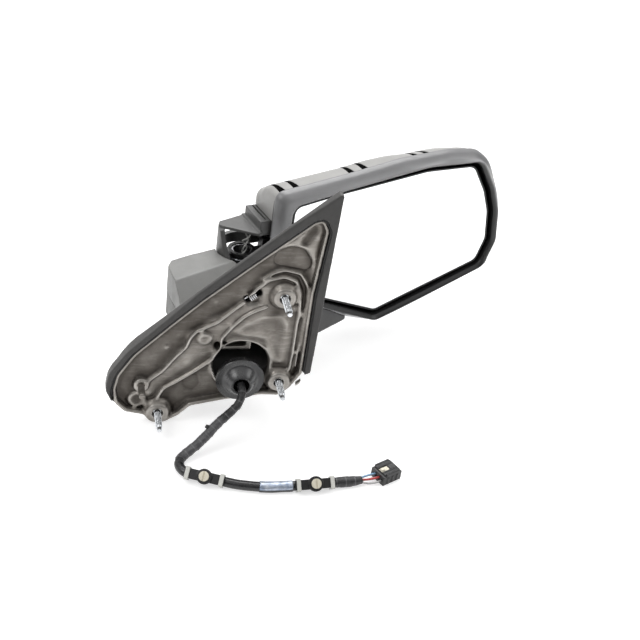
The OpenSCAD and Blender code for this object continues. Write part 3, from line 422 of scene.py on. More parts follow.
def wear(o, rounds=2, gain=1.0):
    """Marks how far each place stands proud of its neighbours, for edge wear with painted highlight and for
    painted shade in the corners.
    """
    co, no, ed = arrays(o)
    d = co[ed[:, 1]] - co[ed[:, 0]]
    length = np.linalg.norm(d, axis=1) + 1e-9
    a = -(d * no[ed[:, 0]]).sum(1) / length
    b = (d * no[ed[:, 1]]).sum(1) / length
    n = len(co)
    k = np.bincount(ed[:, 0], a, n) + np.bincount(ed[:, 1], b, n)
    put(o, "edge", spread(k / neighbour_count(ed, n), ed, rounds) * gain)
    return o


def shift(o, offsets):
    o.data.vertices.foreach_set("co", (arrays(o)[0] + offsets).ravel())
    o.data.update()
    return o


def roughen(o, size_mm, seed, height_mm):
    """Moves the surface in and out by a smooth field of soft lumps, from a few dozen random waves."""
    co, no, ed = arrays(o)
    r = np.random.default_rng(seed)
    waves = 24
    k = r.normal(size=(waves, 3)) * 2 * math.pi / (size_mm * MM) * 0.6
    lumps = np.sin(co @ k.T + r.uniform(0, TAU, waves)).sum(1) / 5.0
    return shift(o, no * (lumps * height_mm * MM)[:, None])


def finish(o, body, mat, nodes, sharp=None):
    """Gives a piece its material and body, and hides the CAD nodes that it replaces."""
    if mat:
        o.data.materials.append(mat)
    if sharp:
        o.data.set_sharp_from_angle(angle=math.radians(sharp))
    if o.data.attributes.get("edge") is None:
        put(o, "edge", np.zeros(len(o.data.vertices)))
    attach(o, body)
    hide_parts(*nodes)
    return o


def moulding(node, voxel, rounds, mat, slot, body="base", worn=2):
    """A CAD node's solid with softened edges, finished as the piece that replaces it."""
    return finish(wear(soften(cad(node), voxel, rounds), worn), body, mat, [node])


def band(a, b, sides):
    """The faces between two rings of points that start at a and b."""
    return [[a + k, a + (k + 1) % sides, b + (k + 1) % sides, b + k] for k in range(sides)]


def skin(rows, closed=False):
    """The points and faces of a surface over rows of points, each row a ring."""
    n, m = len(rows[0]), len(rows)
    faces = [f for i in range(m if closed else m - 1) for f in band(i * n, (i + 1) % m * n, n)]
    return [v for row in rows for v in row], faces


def lathe(name, profile, centre, steps=64):
    """Turns a closed line of (radius, y) points, in mm, about the y axis through centre."""
    rows = []
    for k in range(steps):
        c, s = math.cos(TAU * k / steps), math.sin(TAU * k / steps)
        rows.append([[(v + at) * MM for v, at in zip((r * c, y, r * s), centre)] for r, y in profile])
    return outward(add(name, *skin(rows, True)))


def spline(pts, n):
    """A smooth curve through pts, with n steps between one and the next."""
    p = np.array(pts, float)
    out = []
    for i in range(len(p) - 1):
        a, b, c, d = p[max(0, i - 1)], p[i], p[i + 1], p[min(len(p) - 1, i + 2)]
        for t in np.arange(n) / n:
            cubic = (3 * b - a - 3 * c + d) * t ** 3
            out.append(0.5 * (2 * b + (c - a) * t + (2 * a - 5 * b + 4 * c - d) * t * t + cubic))
    out.append(p[-1])
    return np.array(out)


def run_of(path):
    """The length along a path up to each of its points."""
    return np.concatenate([[0], np.cumsum(np.linalg.norm(np.diff(path, axis=0), axis=1))])


def frames(path):
    """Two directions across the path at each point, without twist."""
    t = np.gradient(path, axis=0)
    t /= np.linalg.norm(t, axis=1)[:, None]
    a = np.cross(t[0], (0, 0, 1))
    a /= np.linalg.norm(a)
    out = []
    for v in t:
        a = a - v * (a @ v)
        a /= np.linalg.norm(a)
        out.append((a.copy(), np.cross(v, a)))
    return out


def tube(name, path, radius, sides=16):
    """A tube in mm along path. radius is a number, or a function of angle, length so far and whole length."""
    path = np.array(path, float)
    n, dist, rows = len(path), run_of(path), []
    for p, (a, b), s in zip(path, frames(path), dist):
        rows.append([])
        for k in range(sides):
            th = TAU * k / sides
            r = radius(th, s, dist[-1]) if callable(radius) else radius
            rows[-1].append((p + r * (math.cos(th) * a + math.sin(th) * b)) * MM)
    verts, faces = skin(rows)
    verts += [path[0] * MM, path[-1] * MM]
    first, last, row = n * sides, n * sides + 1, (n - 1) * sides
    faces += [[first, (k + 1) % sides, k] for k in range(sides)]
    faces += [[last, row + k, row + (k + 1) % sides] for k in range(sides)]
    return outward(add(name, verts, faces))


# -------- outlines, as in the part's source
def unit(v):
    return v / np.linalg.norm(v)


def rounded(p, r, n=14):
    """An outline with rounded corners. r is a radius for each corner, less where its sides are short."""
    p = np.array(p, float)
    m, out = len(p), []
    for i in range(m):
        a, b, c = p[i - 1], p[i], p[(i + 1) % m]
        u, v = unit(a - b), unit(c - b)
        h = math.acos(max(-1, min(1, u @ v))) / 2
        rad = min(r[i], 0.47 * min(np.linalg.norm(a - b), np.linalg.norm(c - b)) * math.tan(h))
        mid = b + unit(u + v) * rad / math.sin(h)
        s, e = b + u * rad / math.tan(h) - mid, b + v * rad / math.tan(h) - mid
        a0 = math.atan2(s[1], s[0])
        da = (math.atan2(e[1], e[0]) - a0 + 3 * math.pi) % TAU - math.pi
        turns = [a0 + da * k / n for k in range(n + 1)]
        out += [mid + rad * np.array([math.cos(t), math.sin(t)]) for t in turns]
    return np.array(out)


def inset(p, d):
    p = np.array(p, float)
    m, out = len(p), []
    for i in range(m):
        u, v = unit(p[i] - p[i - 1]), unit(p[(i + 1) % m] - p[i])
        a, b = np.array([-u[1], u[0]]), np.array([-v[1], v[0]])
        out.append(p[i] + d * (a + b) / (1 + a @ b))
    return np.array(out)


def dense(p, step=0.7):
    """The closed outline's points, at most step mm apart."""
    out = []
    for a, b in zip(p, np.roll(p, -1, axis=0)):
        n = max(1, int(np.ceil(np.linalg.norm(b - a) / step)))
        out += [a + (b - a) * k / n for k in range(n)]
    return np.array(out)


def depth_in(flat, outline):
    """How far inside an outline each point is, in mm; negative outside."""
    p = np.array(outline, float)
    d, odd = np.full(len(flat), 1e9), np.zeros(len(flat), bool)
    for a, b in zip(p, np.roll(p, -1, axis=0)):
        v = b - a
        t = np.clip(((flat - a) @ v) / (v @ v), 0, 1)
        d = np.minimum(d, np.linalg.norm(flat - a - t[:, None] * v, axis=1))
        if a[1] != b[1]:
            spans = (flat[:, 1] > a[1]) != (flat[:, 1] > b[1])
            odd ^= spans & (flat[:, 0] < a[0] + (flat[:, 1] - a[1]) / (b[1] - a[1]) * v[0])
    return np.where(odd, d, -d)


# The head's outlines, x and z in its own frame, and the radius of each corner
GLASS = [[35.2, 40], [80.7, 16.5], [141, -8], [254, 31.5], [261, 55], [255.5, 87], [245.5, 110.5],
         [227, 138.8], [173, 139.5], [84.5, 127.4], [36.5, 119]]
GLASS_R = [9, 60, 8, 8, 14, 40, 30, 12, 60, 80, 8]
BEZEL = [[17.5, 39], [104, -10], [140.6, -22], [193, -4], [271.4, 22], [274.5, 65.5], [268.8, 98],
         [246.3, 142], [228.3, 155], [195.8, 157.7], [142.7, 153.8], [96.5, 145.5], [17.5, 134]]
BEZEL_R = [8, 60, 10, 60, 8, 90, 90, 38, 27, 60, 120, 120, 9]
HOUSE_R = [9, 60, 10, 60, 9, 22, 40, 18, 12, 60, 60, 60, 9]
# The head's frame: its origin on the floor plan and its turn
PIVOT, TURN = (-24.5, 110.5), math.radians(17.5)
# The bezel's front and back faces, and how far the glass sits behind the front
FRONT, BACK, RECESS = 30.75, 18.0, 6.0
# The middle that the head's rings of points run round
CENTRE = np.array([150.0, 72.0])


def head(x, y, z):
    c, s = math.cos(TURN), math.sin(TURN)
    return ((PIVOT[0] + x * c - y * s) * MM, (PIVOT[1] + x * s + y * c) * MM, z * MM)


def polar(p, angles):
    """The outline's distance from the head's middle at each angle."""
    q = dense(np.array(p)) - CENTRE
    th, r = np.arctan2(q[:, 1], q[:, 0]), np.hypot(q[:, 0], q[:, 1])
    o = np.argsort(th)
    th, r = th[o], r[o]
    return np.interp(angles, np.concatenate([th - TAU, th, th + TAU]), np.tile(r, 3))


def stations(outline, count):
    """Angles about the middle that run evenly along an outline, closer at its corners."""
    q = dense(outline, 0.25)
    d = np.linalg.norm(np.roll(q, -1, axis=0) - q, axis=1)
    u = np.concatenate([[0], np.cumsum(d)])[:-1]
    at = np.interp(np.arange(count) / count * d.sum(), u, np.arange(len(q)))
    p = q[np.clip(np.round(at).astype(int), 0, len(q) - 1)] - CENTRE
    return np.sort(np.arctan2(p[:, 1], p[:, 0]))


def rings(name, rows, angles, closed=True):
    """A mesh from rows of (radius at each angle, y), in the head's own frame."""
    c, s = np.cos(angles), np.sin(angles)
    around = [[head(x, y, z) for x, z in zip(CENTRE[0] + r * c, CENTRE[1] + r * s)] for r, y in rows]
    return add(name, *skin(around, closed))


def curve_rows(knots, per):
    """Rows through knot rows of (radii, y), as one smooth curve."""
    out = []
    for i in range(len(knots) - 1):
        near = [knots[max(0, min(len(knots) - 1, k))] for k in (i - 1, i, i + 1, i + 2)]
        for t in np.arange(per) / per:
            w = (-0.5 * t + t * t - 0.5 * t ** 3, 1 - 2.5 * t * t + 1.5 * t ** 3,
                 0.5 * t + 2 * t * t - 1.5 * t ** 3, -0.5 * t * t + 0.5 * t ** 3)
            out.append(tuple(sum(f * q[part] for f, q in zip(w, near)) for part in (0, 1)))
    out.append(knots[-1])
    return out


def prism(name, outline, y0, y1):
    """A plate in the head's own frame, from y0 to y1."""
    n = len(outline)
    verts = [head(x, y, z) for y in (y0, y1) for x, z in outline]
    return outward(add(name, verts, band(0, n, n) + [list(range(n))[::-1], list(range(n, 2 * n))], False))


def block(name, corners):
    """A solid with eight corners: four below in a ring, then the four above them."""
    faces = [[0, 3, 2, 1], [4, 5, 6, 7], [0, 1, 5, 4], [1, 2, 6, 5], [2, 3, 7, 6], [3, 0, 4, 7]]
    return outward(add(name, corners, faces, False))


def box(name, low, high, where=head):
    (x0, y0, z0), (x1, y1, z1) = low, high
    ring = ((x0, y0), (x1, y0), (x1, y1), (x0, y1))
    return block(name, [where(x, y, z) for z in (z0, z1) for x, y in ring])


def in_mm(x, y, z):
    return (x * MM, y * MM, z * MM)


# -------- harness, first
FLOOR_Z = -43.5
# The height of the harness's axis where it lies on the floor
LAY = FLOOR_Z + 4 + 0.4
ROUTE = [[-34.7, 14, 7], [-34.7, 4, 6], [-34.7, -6, 5], [-34.7, -15, 3.5], [-36, -21.5, 0], [-40, -25, -6],
         [-47, -27, -13], [-56, -30.5, -20.5], [-65, -36.2, -28], [-74.3, -42.3, -33.8], [-83.2, -48, -37.6],
         [-87.7, -53.3, -38.9], [-88.9, -60.2, LAY], [-86.3, -66.7, LAY], [-80.8, -70.8, LAY],
         [-69, -75.4, LAY], [-56.5, -80.4, LAY], [-42, -85.7, LAY], [-20, -89.3, LAY], [4, -89, LAY],
         [20, -87.8, LAY], [36, -86.6, LAY], [52, -85.6, LAY], [62, -84.2, LAY]]
SLEEVE_R, SLEEVE_STEP = 4.0, 0.45
# Lengths from the grommet: where the tape ends, and where it is greyer. The tail's own tape is TAIL long
TAPE_END, GREY_FROM, GREY_TO, TAIL = 118.0, 58.0, 112.0, 26
TAPE_WIDTH = 8.0


def even_steps(path, step):
    """Points step mm apart along a path, and its whole length."""
    run, n = run_of(path), np.arange(len(path))
    at = np.interp(np.arange(0, run[-1], step), run, n)
    return np.stack([np.interp(at, n, path[:, c]) for c in range(3)], 1), run[-1]


def sleeve_radius(th, s, total):
    r = SLEEVE_R * min(1.06, 0.86 + max(0.0, s - 36) * 0.0050)
    if s < TAPE_END:
        wrap = ((s + 5.5 * th / TAU) / TAPE_WIDTH) % 1.0
        folds = math.sin(3 * th + 0.31 * s) * math.sin(0.83 * s + 1.7 * math.sin(2 * th))
        return r - 0.30 + 0.34 * wrap + (0.16 * folds + 0.08 * math.sin(7 * th - 0.9 * s))
    tail = total - s
    if tail < TAIL:
        wrap = ((s + 5 * th / TAU) / 6.0) % 1.0
        swell = 0.55 * math.exp(-((tail - 15) / 6.0) ** 2) - 0.7 * max(0.0, (7 - tail) / 7)
        return min(4.6, r - 0.25 + swell + 0.3 * wrap * (0.4 + 0.6 * (tail > 4)))
    return r - 0.12 + 0.03 * math.sin(0.5 * s)


def nearest_step(co, path, batch=4000):
    out = np.zeros(len(co))
    for i in range(0, len(co), batch):
        d = np.linalg.norm(co[i:i + batch, None, :] - path[None, :, :], axis=2)
        out[i:i + batch] = d.argmin(1)
    return out


line, whole = even_steps(spline(ROUTE, 18), SLEEVE_STEP)
harness = tube("harness_sleeve", line, sleeve_radius, 36)
s_of = nearest_step(arrays(harness)[0], line * MM) * SLEEVE_STEP
put(harness, "tape", ((s_of < TAPE_END) | (s_of > whole - 24)).astype(float))
put(harness, "grey", np.clip((s_of - GREY_FROM) / 6, 0, 1) * np.clip((GREY_TO - s_of) / 6, 0, 1))
put(harness, "wrap", ((s_of / TAPE_WIDTH) % 1.0))
finish(harness, "base", tape_material(), ["harness_cable"])

# -------- base: the casting
BASE = "base"
STUDS = ((0, 0), (-4, 86), (-103, -32.5))
PIN_AT, GROMMET_AT, CLIP_AT = (-118, -5), (-34.7, 5), (-30, 84)
# Small round bosses on the face: x, z, radius and height
BUMPS = ((-98, 32, 2.6, 1.6), (-88, 45, 2.2, 1.2), (14, 100, 2.4, 1.4), (-60, 78, 2.2, 1.2),
         (-111, -14, 2.4, 1.3), (-46, 58, 2.2, 1.4), (6, 74, 2.4, 1.5), (-80, 18, 2.6, 1.3),
         (10, 30, 2.0, 1.4))
CAST_OUT = [[20, 8], [20.5, 90], [25.5, 150], [20, 161], [12, 158.5], [-1, 147], [-37, 115.5], [-72, 84],
            [-99, 57], [-126, 29], [-139, 8], [-142.5, -8], [-140, -22], [-131, -31.5], [-115, -35],
            [-108, -43.5], [-97, -43.5], [-85, -36.5], [-75, -26], [-47, -20], [-13, -14.5], [2, -15.5],
            [11, -7]]
# Where the face stays as in the CAD: x, z and radius about the studs, the pin, the openings and the clip
KEPT = (*((*s, 6.5) for s in STUDS), (*PIN_AT, 5), (*GROMMET_AT, 22), (-34, 15, 16), (*CLIP_AT, 6))
# Soft steps of the face: the tip's plateau, the broad shoulder and the lower step, with height and run-out
STEPPED = (
    ([[-60, 92], [-56, 106], [-44, 109], [-33.7, 115], [-21.2, 124.5], [-5.7, 131], [8.3, 128.2], [15, 119],
      [18, 103], [18.5, 60], [24, 60], [30, 170], [-40, 170], [-110, 92]], 3.2, 6.0),
    ([[-120, -10], [-107, 1], [-92, 26.6], [-82, 37], [-81.6, 48.5], [-71.7, 51.8], [-65.6, 61.8],
      [-51, 68.4], [-37.8, 73.4], [-31, 83], [-20.8, 95.6], [-10.7, 101], [0.3, 101], [8.5, 95], [12.5, 83.7],
      [14.5, 50.3], [14.5, 2], [4.5, 2], [1.5, 50], [-7, 72], [-17.6, 65.3], [-30.8, 58.6], [-43.7, 46.8],
      [-62.3, 36.7], [-69.9, 26.5], [-85.4, 9.3], [-101.4, -4.5], [-110.4, -20.4]], 2.8, 4.0),
    ([[-110, -22], [-101, -4], [-85, 9.5], [-70, 27], [-62, 37], [-44, 47], [-31, 59], [-18, 65], [-7, 72],
      [0, 50], [3.8, 10], [-8.7, 8.7], [-9.8, 19.3], [-20, 35], [-34.7, 40], [-48.7, 40], [-62.8, 24.8],
      [-74.2, 9.3], [-87.4, -4.7], [-100.6, -19]], 1.4, 3.0))
# Pockets that read as shallow bowls: their outlines, and the y that their floors come up to
POCKETS = (([[-18, 115], [-1, 112], [15, 109], [15.5, 118], [8, 130], [-3, 132.5], [-13, 127]], 10.0),
           ([[1, 135], [9.5, 131.5], [20, 150], [13, 156]], 9.3),
           ([[-84, 0], [-82, -11], [-73, -15], [-67, -7], [-70, 5]], 10.0))
MELT_ROUNDS = 26


def casting_mesh():
    """The CAD's casting with its small bosses and the comb at its lower corner, edges softened."""
    added = []
    for x, z, r, h in BUMPS:
        dome = [(0.01, 10), (r, 10), (r, 9.2 - h), (r - 0.6, 8.7 - h), (0.01, 8.6 - h)]
        added.append(lathe("bump", dome, (x, 0, z), 24))
    for k in range(3):
        low, high = (16.2 + k * 2.0, 3.0, -8.5 + k * 2.2), (17.2 + k * 2.0, 9.5, -4.2 + k * 2.2)
        added.append(box("tooth", low, high, in_mm))
    return soften(join("base_casting_look", [cad("base_casting"), *added]), 0.9, 3)


def melted(co, no, ed, flat, from_rim):
    """The casting's points with soft steps and bowls, and its ribs and corners run together."""
    y = co[:, 1] / MM
    melt = np.clip((from_rim - 2.6) / 2.5, 0, 1) * np.clip((11.2 - y) / 1.5, 0, 1)
    for x, z, keep in KEPT:
        melt *= np.clip((np.hypot(flat[:, 0] - x, flat[:, 1] - z) - keep) / 3, 0, 1)
    rise = 0
    for outline, height, run in STEPPED:
        t = np.clip(depth_in(flat, outline) / run + 0.5, 0, 1)
        rise = rise + height * (t * t * (3 - 2 * t))
    facing = np.clip((-no[:, 1] - 0.3) / 0.3, 0, 1) * melt
    soft = co.astype(float)
    for outline, level in POCKETS:
        inside = (depth_in(flat, outline) > -1.6) & (no[:, 1] < 0.3) & (co[:, 1] < 14.6 * MM)
        soft[:, 1] = np.where(inside, np.minimum(soft[:, 1], level * MM), soft[:, 1])
    raised = np.maximum(soft[:, 1] - rise * facing * MM, np.minimum(soft[:, 1], 3.0 * MM))
    soft[:, 1] = np.where(facing > 0, raised, soft[:, 1])
    count = neighbour_count(ed, len(co))[:, None]
    for _ in range(MELT_ROUNDS):
        near = np.stack([neighbour_sum(soft[:, k], ed) for k in range(3)], 1)
        soft += 0.5 * melt[:, None] * (near / count - soft)
    return soft


def mark_relief(o, from_rim):
    """Marks the casting's hollows, bowls and edges for the painted shade and highlight of its material, less
    of each near the rim.
    """
    co, no, ed = arrays(o)
    y = co[:, 1].astype(float) / MM
    calm = np.clip((from_rim - 1.5) / 5, 0.18, 1)
    for name, wide, narrow in (("hollow", 90, 0), ("bowl_shade", 900, 60)):
        put(o, name, (spread(y, ed, narrow) - spread(y, ed, wide)) * calm)
    edge = np.zeros(len(y), np.float32)
    o.data.attributes["edge"].data.foreach_get("value", edge)
    put(o, "edge", edge * np.clip((from_rim - 0.8) / 3, 0.30, 1))


casting = casting_mesh()
co, no, ed = arrays(casting)
flat = co[:, [0, 2]] / MM
from_rim = np.full(len(flat), 1e9)
for q in dense(np.array(CAST_OUT, float), 1.5):
    from_rim = np.minimum(from_rim, np.hypot(flat[:, 0] - q[0], flat[:, 1] - q[1]))
shift(casting, melted(co, no, ed, flat, from_rim) - co)
roughen(casting, 18, 3, 0.07)
wear(casting, 2, 2.6)
mark_relief(casting, from_rim)
finish(casting, BASE, CAST, ["base_casting"])

# -------- base: covers, studs, grommet
sail = moulding("sail_cover", 0.95, 5, GREY_SAIL, "cover_plastic")
moulding("arm_cover_upper", 0.7, 6, GREY_ARM, "arm_plastic")
# The lower cover takes the darker, painted-shade copy of the arm plastic.
moulding("arm_cover_lower", 0.8, 6, GREY_ARM_SHADED, "arm_plastic_dark")

PITCH, THREAD_FROM, THREAD_R, THREAD_STEP = 1.0, -19.0, 2.98, 0.14
# The stud's plain parts, radius and y: the dog point before the thread, the shank and the head after it
DOG_POINT = ((0.01, -23.0), (1.7, -23.0), (2.1, -22.6), (2.15, -20.2), (2.45, -19.4))
SHANK = ((2.7, 0.2), (2.7, 3.1), (3.5, 3.3), (3.5, 12.1), (5.3, 12.1), (5.5, 12.3), (5.5, 13.7), (5.2, 14.0),
         (0.01, 14.0))


def thread_radius(y, turn):
    """The thread's radius at y, faded out at both its ends."""
    tri = abs(2 * ((y / PITCH - turn) % 1.0) - 1)
    fade = min(1.0, y - THREAD_FROM, (0.6 - y) / 0.6)
    return THREAD_R - 0.52 * min(1, 1.25 * tri) * max(0, fade) - 0.25 * max(0, 1 - (y - THREAD_FROM) / 0.9)


def stud(name, x, z, sides=40):
    """A zinc-plated stud: head behind the casting, threads, and a thin dog point."""
    rows = [[p] * sides for p in DOG_POINT]
    for y in np.arange(THREAD_FROM, 0.01, THREAD_STEP):
        rows.append([(thread_radius(y, k / sides), y) for k in range(sides)])
    rows += [[p] * sides for p in SHANK]
    around = [(math.cos(TAU * k / sides), math.sin(TAU * k / sides)) for k in range(sides)]
    rows = [[((x + r * c) * MM, y * MM, (z + r * s) * MM) for (r, y), (c, s) in zip(row, around)]
            for row in rows]
    return outward(add(name, *skin(rows)))


studs = join("studs_threaded", [stud("s", *p) for p in STUDS])
finish(studs, BASE, ZINC, ["mounting_studs"], 40)
PIN_PROFILE = [(0.01, -12), (1.6, -12), (2.3, -11.7), (2.75, -11.0), (2.85, -9.5), (2.95, 2.0), (3.0, 3.3),
               (2.5, 3.4), (2.5, 12), (0.01, 12)]
pin = lathe("locating_pin_turned", PIN_PROFILE, (PIN_AT[0], 0, PIN_AT[1]), 48)
finish(pin, BASE, CAST, ["locating_pin"], 50)

# The wire clip: a small coil of four turns between two straight ends
COIL_R, COIL_TURNS, COIL_STEPS = 2.7, 4, 96
pts = [[-6.8, 0, COIL_R], [-4.4, 0, COIL_R]]
for i in range(COIL_STEPS + 1):
    a = TAU * i / (COIL_STEPS / COIL_TURNS)
    pts.append([-3.4 + 6.8 * i / COIL_STEPS, COIL_R * math.sin(a), COIL_R * math.cos(a)])
pts += [[4.4, 0, COIL_R], [6.8, 0, COIL_R]]
clip = tube("casting_clip_coil", spline(pts, 3), 0.55, 12)
clip_at = Matrix.Translation(Vector((CLIP_AT[0], 8, CLIP_AT[1])) * MM)
clip.data.transform(clip_at @ Matrix.Rotation(math.radians(-42), 4, "Y"))
finish(clip, BASE, CLIP_METAL, ["casting_clip"])

CONE = [(9.0, 3.2), (19.2, 3.2), (18.5, 2.9), (18.5, 0.6), (20.6, 0.5), (21.0, 0.1), (21.0, -1.9),
        (20.5, -2.5), (16.6, -2.6), (15.4, -2.9), (14.5, -3.6), (11.4, -8.3), (9.2, -11.1), (8.6, -11.5),
        (7.6, -11.4), (7.0, -10.9), (8.6, -7.6), (10.7, -2.6), (11.0, -1.8), (11.0, 2.4), (9.0, 2.6)]
NECK = [(5.4, 3.0), (13.2, 3.0), (13.2, 11.6), (12.8, 12.0), (5.6, 12.0), (5.2, 11.6)]
FLANGE = [(12.0, 3.0), (18.8, 3.0), (19.2, 3.3), (19.2, 5.1), (18.8, 5.5), (12.0, 5.5)]
gx, gz = GROMMET_AT
turned = [lathe("cone", CONE, (gx, 0, gz), 96), lathe("neck", NECK, (gx, 0, gz + 0.4), 64),
          lathe("flange", FLANGE, (gx, 0, gz), 96)]
grommet = join("grommet_turned", turned)
co = arrays(grommet)[0] / MM
far = np.hypot(co[:, 0] - gx, co[:, 2] - gz)
# Painted shade: the outer ring and the hole in the middle are darkened.
put(grommet, "inner", np.clip((far - 15.2) / 1.2, 0, 1) * 0.62 + np.clip((8.0 - far) / 2, 0, 1) * 0.8)
finish(grommet, BASE, GROMMET, ["cable_grommet"], 35)

# -------- pivot
SPRING_R, SPRING_LOW, SPRING_HIGH, SPRING_TURNS, SPRING_WIRE_R = 11.6, 56.5, 63.9, 4.4, 0.98
# The part of the spring at each end that lies flat, and the steps in a turn
FLAT_END, TURN_STEPS = 0.16, 32
n = int(SPRING_TURNS * TURN_STEPS)
pts = []
for i in range(n + 1):
    f = i / n
    g = min(1, max(0, (f * (1 + 2 * FLAT_END) - FLAT_END)))
    a = TAU * SPRING_TURNS * f
    z = SPRING_LOW + (SPRING_HIGH - SPRING_LOW) * g
    pts.append([PIVOT[0] + SPRING_R * math.cos(a), PIVOT[1] + SPRING_R * math.sin(a), z])
finish(tube("pivot_spring_coil", pts, SPRING_WIRE_R, 14), BASE, STEEL, ["pivot_spring"])

# Two wires twisted about one line, further apart above
WIRE_LINE = [[0, 0, 34], [0.5, -1, 52], [0, -2, 64], [2, -3, 72], [1, -4, 79], [3, -4, 84], [3, -5, 91.2]]
wires = []
for side in (0, math.pi):
    q = []
    for i, p in enumerate(spline(WIRE_LINE, 14)):
        a = side + TAU * i / 40
        g = 1.0 + 1.2 * min(1, max(0, (p[2] - 66) / 12))
        q.append([PIVOT[0] + p[0] + 0.4 + g * math.cos(a), PIVOT[1] + p[1] + 0.8 * g * math.sin(a), p[2]])
    wires.append(tube("w", q, 0.72, 12))
wires = join("pivot_wire_pair", wires)
finish(wires, BASE, wire_material("wire_sheath", lin(206, 206, 202)), ["pivot_wires"])

# -------- head: bezel
HEAD = "head"


def ring_of(outline, radii, by, ang):
    """The radii of an outline brought in by some mm; less than nothing takes it outward."""
    return polar(rounded(inset(outline, by), radii), ang)


def bezel_look():
    """Rows round the opening: up its inner wall, over the lip and ridge, down and round the back."""
    b_out = rounded(BEZEL, BEZEL_R)
    ang = stations(b_out, 900)
    r_full = polar(b_out, ang)
    r_16, r_5 = ring_of(BEZEL, BEZEL_R, 1.6, ang), ring_of(BEZEL, BEZEL_R, 5, ang)
    r_open = ring_of(GLASS, [r + 3 for r in GLASS_R], -3.4, ang)
    r_lip = ring_of(GLASS, [r + 4 for r in GLASS_R], -6.2, ang)
    r_cav = ring_of(BEZEL, [max(1, r - 2.5) for r in BEZEL_R], 2.5, ang)
    # The opening is wider toward the tip
    wider = 2.6 * np.clip((CENTRE[0] + r_full * np.cos(ang) - 50) / 110, 0, 1)
    r_open, r_lip = r_open + wider, r_lip + wider * 0.75
    r_ridge = np.maximum(ring_of(GLASS, GLASS_R, -7.2, ang), r_lip + 1.2)
    wall = [(r_open, -22.25), (r_open, -25.0), (r_open, -26.8), (r_open + 0.1, -27.25), (r_open + 0.4, -27.6),
            (r_lip - 1.2, -FRONT + 1.25)]
    face = curve_rows([(r_lip - 0.3, -FRONT + 0.55), (r_lip + 0.5, -FRONT + 0.06),
                       (r_ridge + 0.3, -FRONT + 0.12), (r_5, -FRONT + 2.3), (r_16, -FRONT + 6.1),
                       (r_full, -FRONT + 10)], 8)
    rim = [(r_full, -19.4), (r_full, -18.4), (r_full - 0.3, -18.02), (r_cav + 0.2, -18), (r_cav, -18.2),
           (r_cav, -21.9), (r_cav - 0.4, -22.25)]
    rows = wall + face + rim
    o = rings("bezel_loft", rows, ang)
    row_no = np.arange(len(rows))[:, None]
    seen_row = row_no < len(wall) + len(face)
    # Painted shade darkens the inner slope: above and at the left it fades out over the first rows. Below and
    # at the right it ends half way across the rim, and the outer half is brighter with painted light.
    painted_shade_rows = np.array([0.95] * 5 + [0.85] + list(np.linspace(0.8, 0, 10)) + [0] * (len(rows) - 16))[:, None]
    below = np.clip((0.30 - np.sin(ang)) / 0.5, 0, 1)[None, :]
    across = (np.array([r for r, y in rows]) - r_open) / (r_full - r_open)
    half_in = 0.95 * np.clip((0.52 - across) / 0.12, 0, 1)
    put(o, "inner", (painted_shade_rows * (1 - below) + half_in * below * seen_row).ravel())
    # Painted light: the outer half of the rim below and at the right made brighter.
    put(o, "painted_underside_light", (below * np.clip((across - 0.45) / 0.12, 0, 1) * seen_row).ravel())
    # Painted highlight along a band of rows on the ridge.
    put(o, "ridge", np.repeat(np.exp(-((row_no - 23) / 7.0) ** 2), len(ang)))
    return wear(outward(o), 2, 0.5)


bezel = finish(bezel_look(), HEAD, GREY_BEZEL, ["bezel"], 50)

# -------- head: housings
# The housings' steps from front to back: y, inset from the bezel's outline, how far their inner end moves
# out, and how far the roof falls at its outer end
STEPS = ((0.1 - BACK, 2, 0, 0), (-8, 3.2, 0, 1.6), (0, 5, 0, 3.2), (8, 9, 0, 3.4), (17, 16, 0.6, 2),
         (26, 25, 9, 1), (33, 36, 22, 0), (38, 50, 42, 0))
# The rings that close the back: their share of the last step's radii, and y
CLOSING = ((0.90, 37.98), (0.75, 38.1), (0.55, 38.1), (0.3, 38.1), (0.02, 38.1))
UPPER_END, LOWER_END, SHELL = 17.4, 24.6, 2.4
SLOT_X = (25.8, 39.6, 95.5, 109.2, 163.4, 176)
# A slot's corners, from its x and the bezel's back
SLOT_WEDGE = ((-3.2, 0.7), (3.2, 0.7), (2.4, 25.5), (-0.8, 25.5))


def house_outline(i, x):
    """The bezel's outline brought in by i, and cut off at x at its inner end."""
    p = inset(BEZEL, i)
    last = len(p) - 1
    return [[x, q[1]] if k in (0, last) else [max(x, q[0]), q[1]] for k, q in enumerate(p)]


def house_skin(name, x0):
    outlines = [rounded(house_outline(i, x0 + dx), HOUSE_R) for y, i, dx, drop in STEPS]
    ang = stations(outlines[0], 520)
    radii = [polar(o, ang) for o in outlines]
    px, pz = CENTRE[0] + radii[0] * np.cos(ang), CENTRE[1] + radii[0] * np.sin(ang)
    fall = np.clip((px - 120) / 50, 0, 1) * np.clip((pz - 125) / 20, 0, 1)
    rows = curve_rows([(r - fall * drop, y) for r, (y, i, dx, drop) in zip(radii, STEPS)], 6)
    rows += [(radii[-1] * f, y) for f, y in CLOSING]
    return outward(rings(name, rows, ang, False))


def keep_side(o, z, up):
    """Keeps what is above z, or below it."""
    at, toward = (Vector(head(0, 0, v)) for v in (z, z + up))
    with edited(o) as bm:
        bmesh.ops.bisect_plane(bm, geom=bm.verts[:] + bm.edges[:] + bm.faces[:], plane_co=at,
                               plane_no=toward - at, clear_inner=True, dist=1e-7)
    return o


def faces_out(o):
    co, no, ed = arrays(o)
    return ((co - np.array(head(CENTRE[0], 0, CENTRE[1]))) * no).sum() >= 0


def thicken(o, mm):
    """Makes a skin a shell, whose inner side is darkened with painted shade."""
    if not faces_out(o):
        o.data.flip_normals()
    m = o.modifiers.new("t", "SOLIDIFY")
    m.thickness, m.offset, m.use_even_offset = mm * MM, -1, True
    settle(o)
    half = len(o.data.vertices) // 2
    # Painted shade on the inner side.
    put(o, "inner", [0.0] * half + [1.0] * (len(o.data.vertices) - half))
    return o


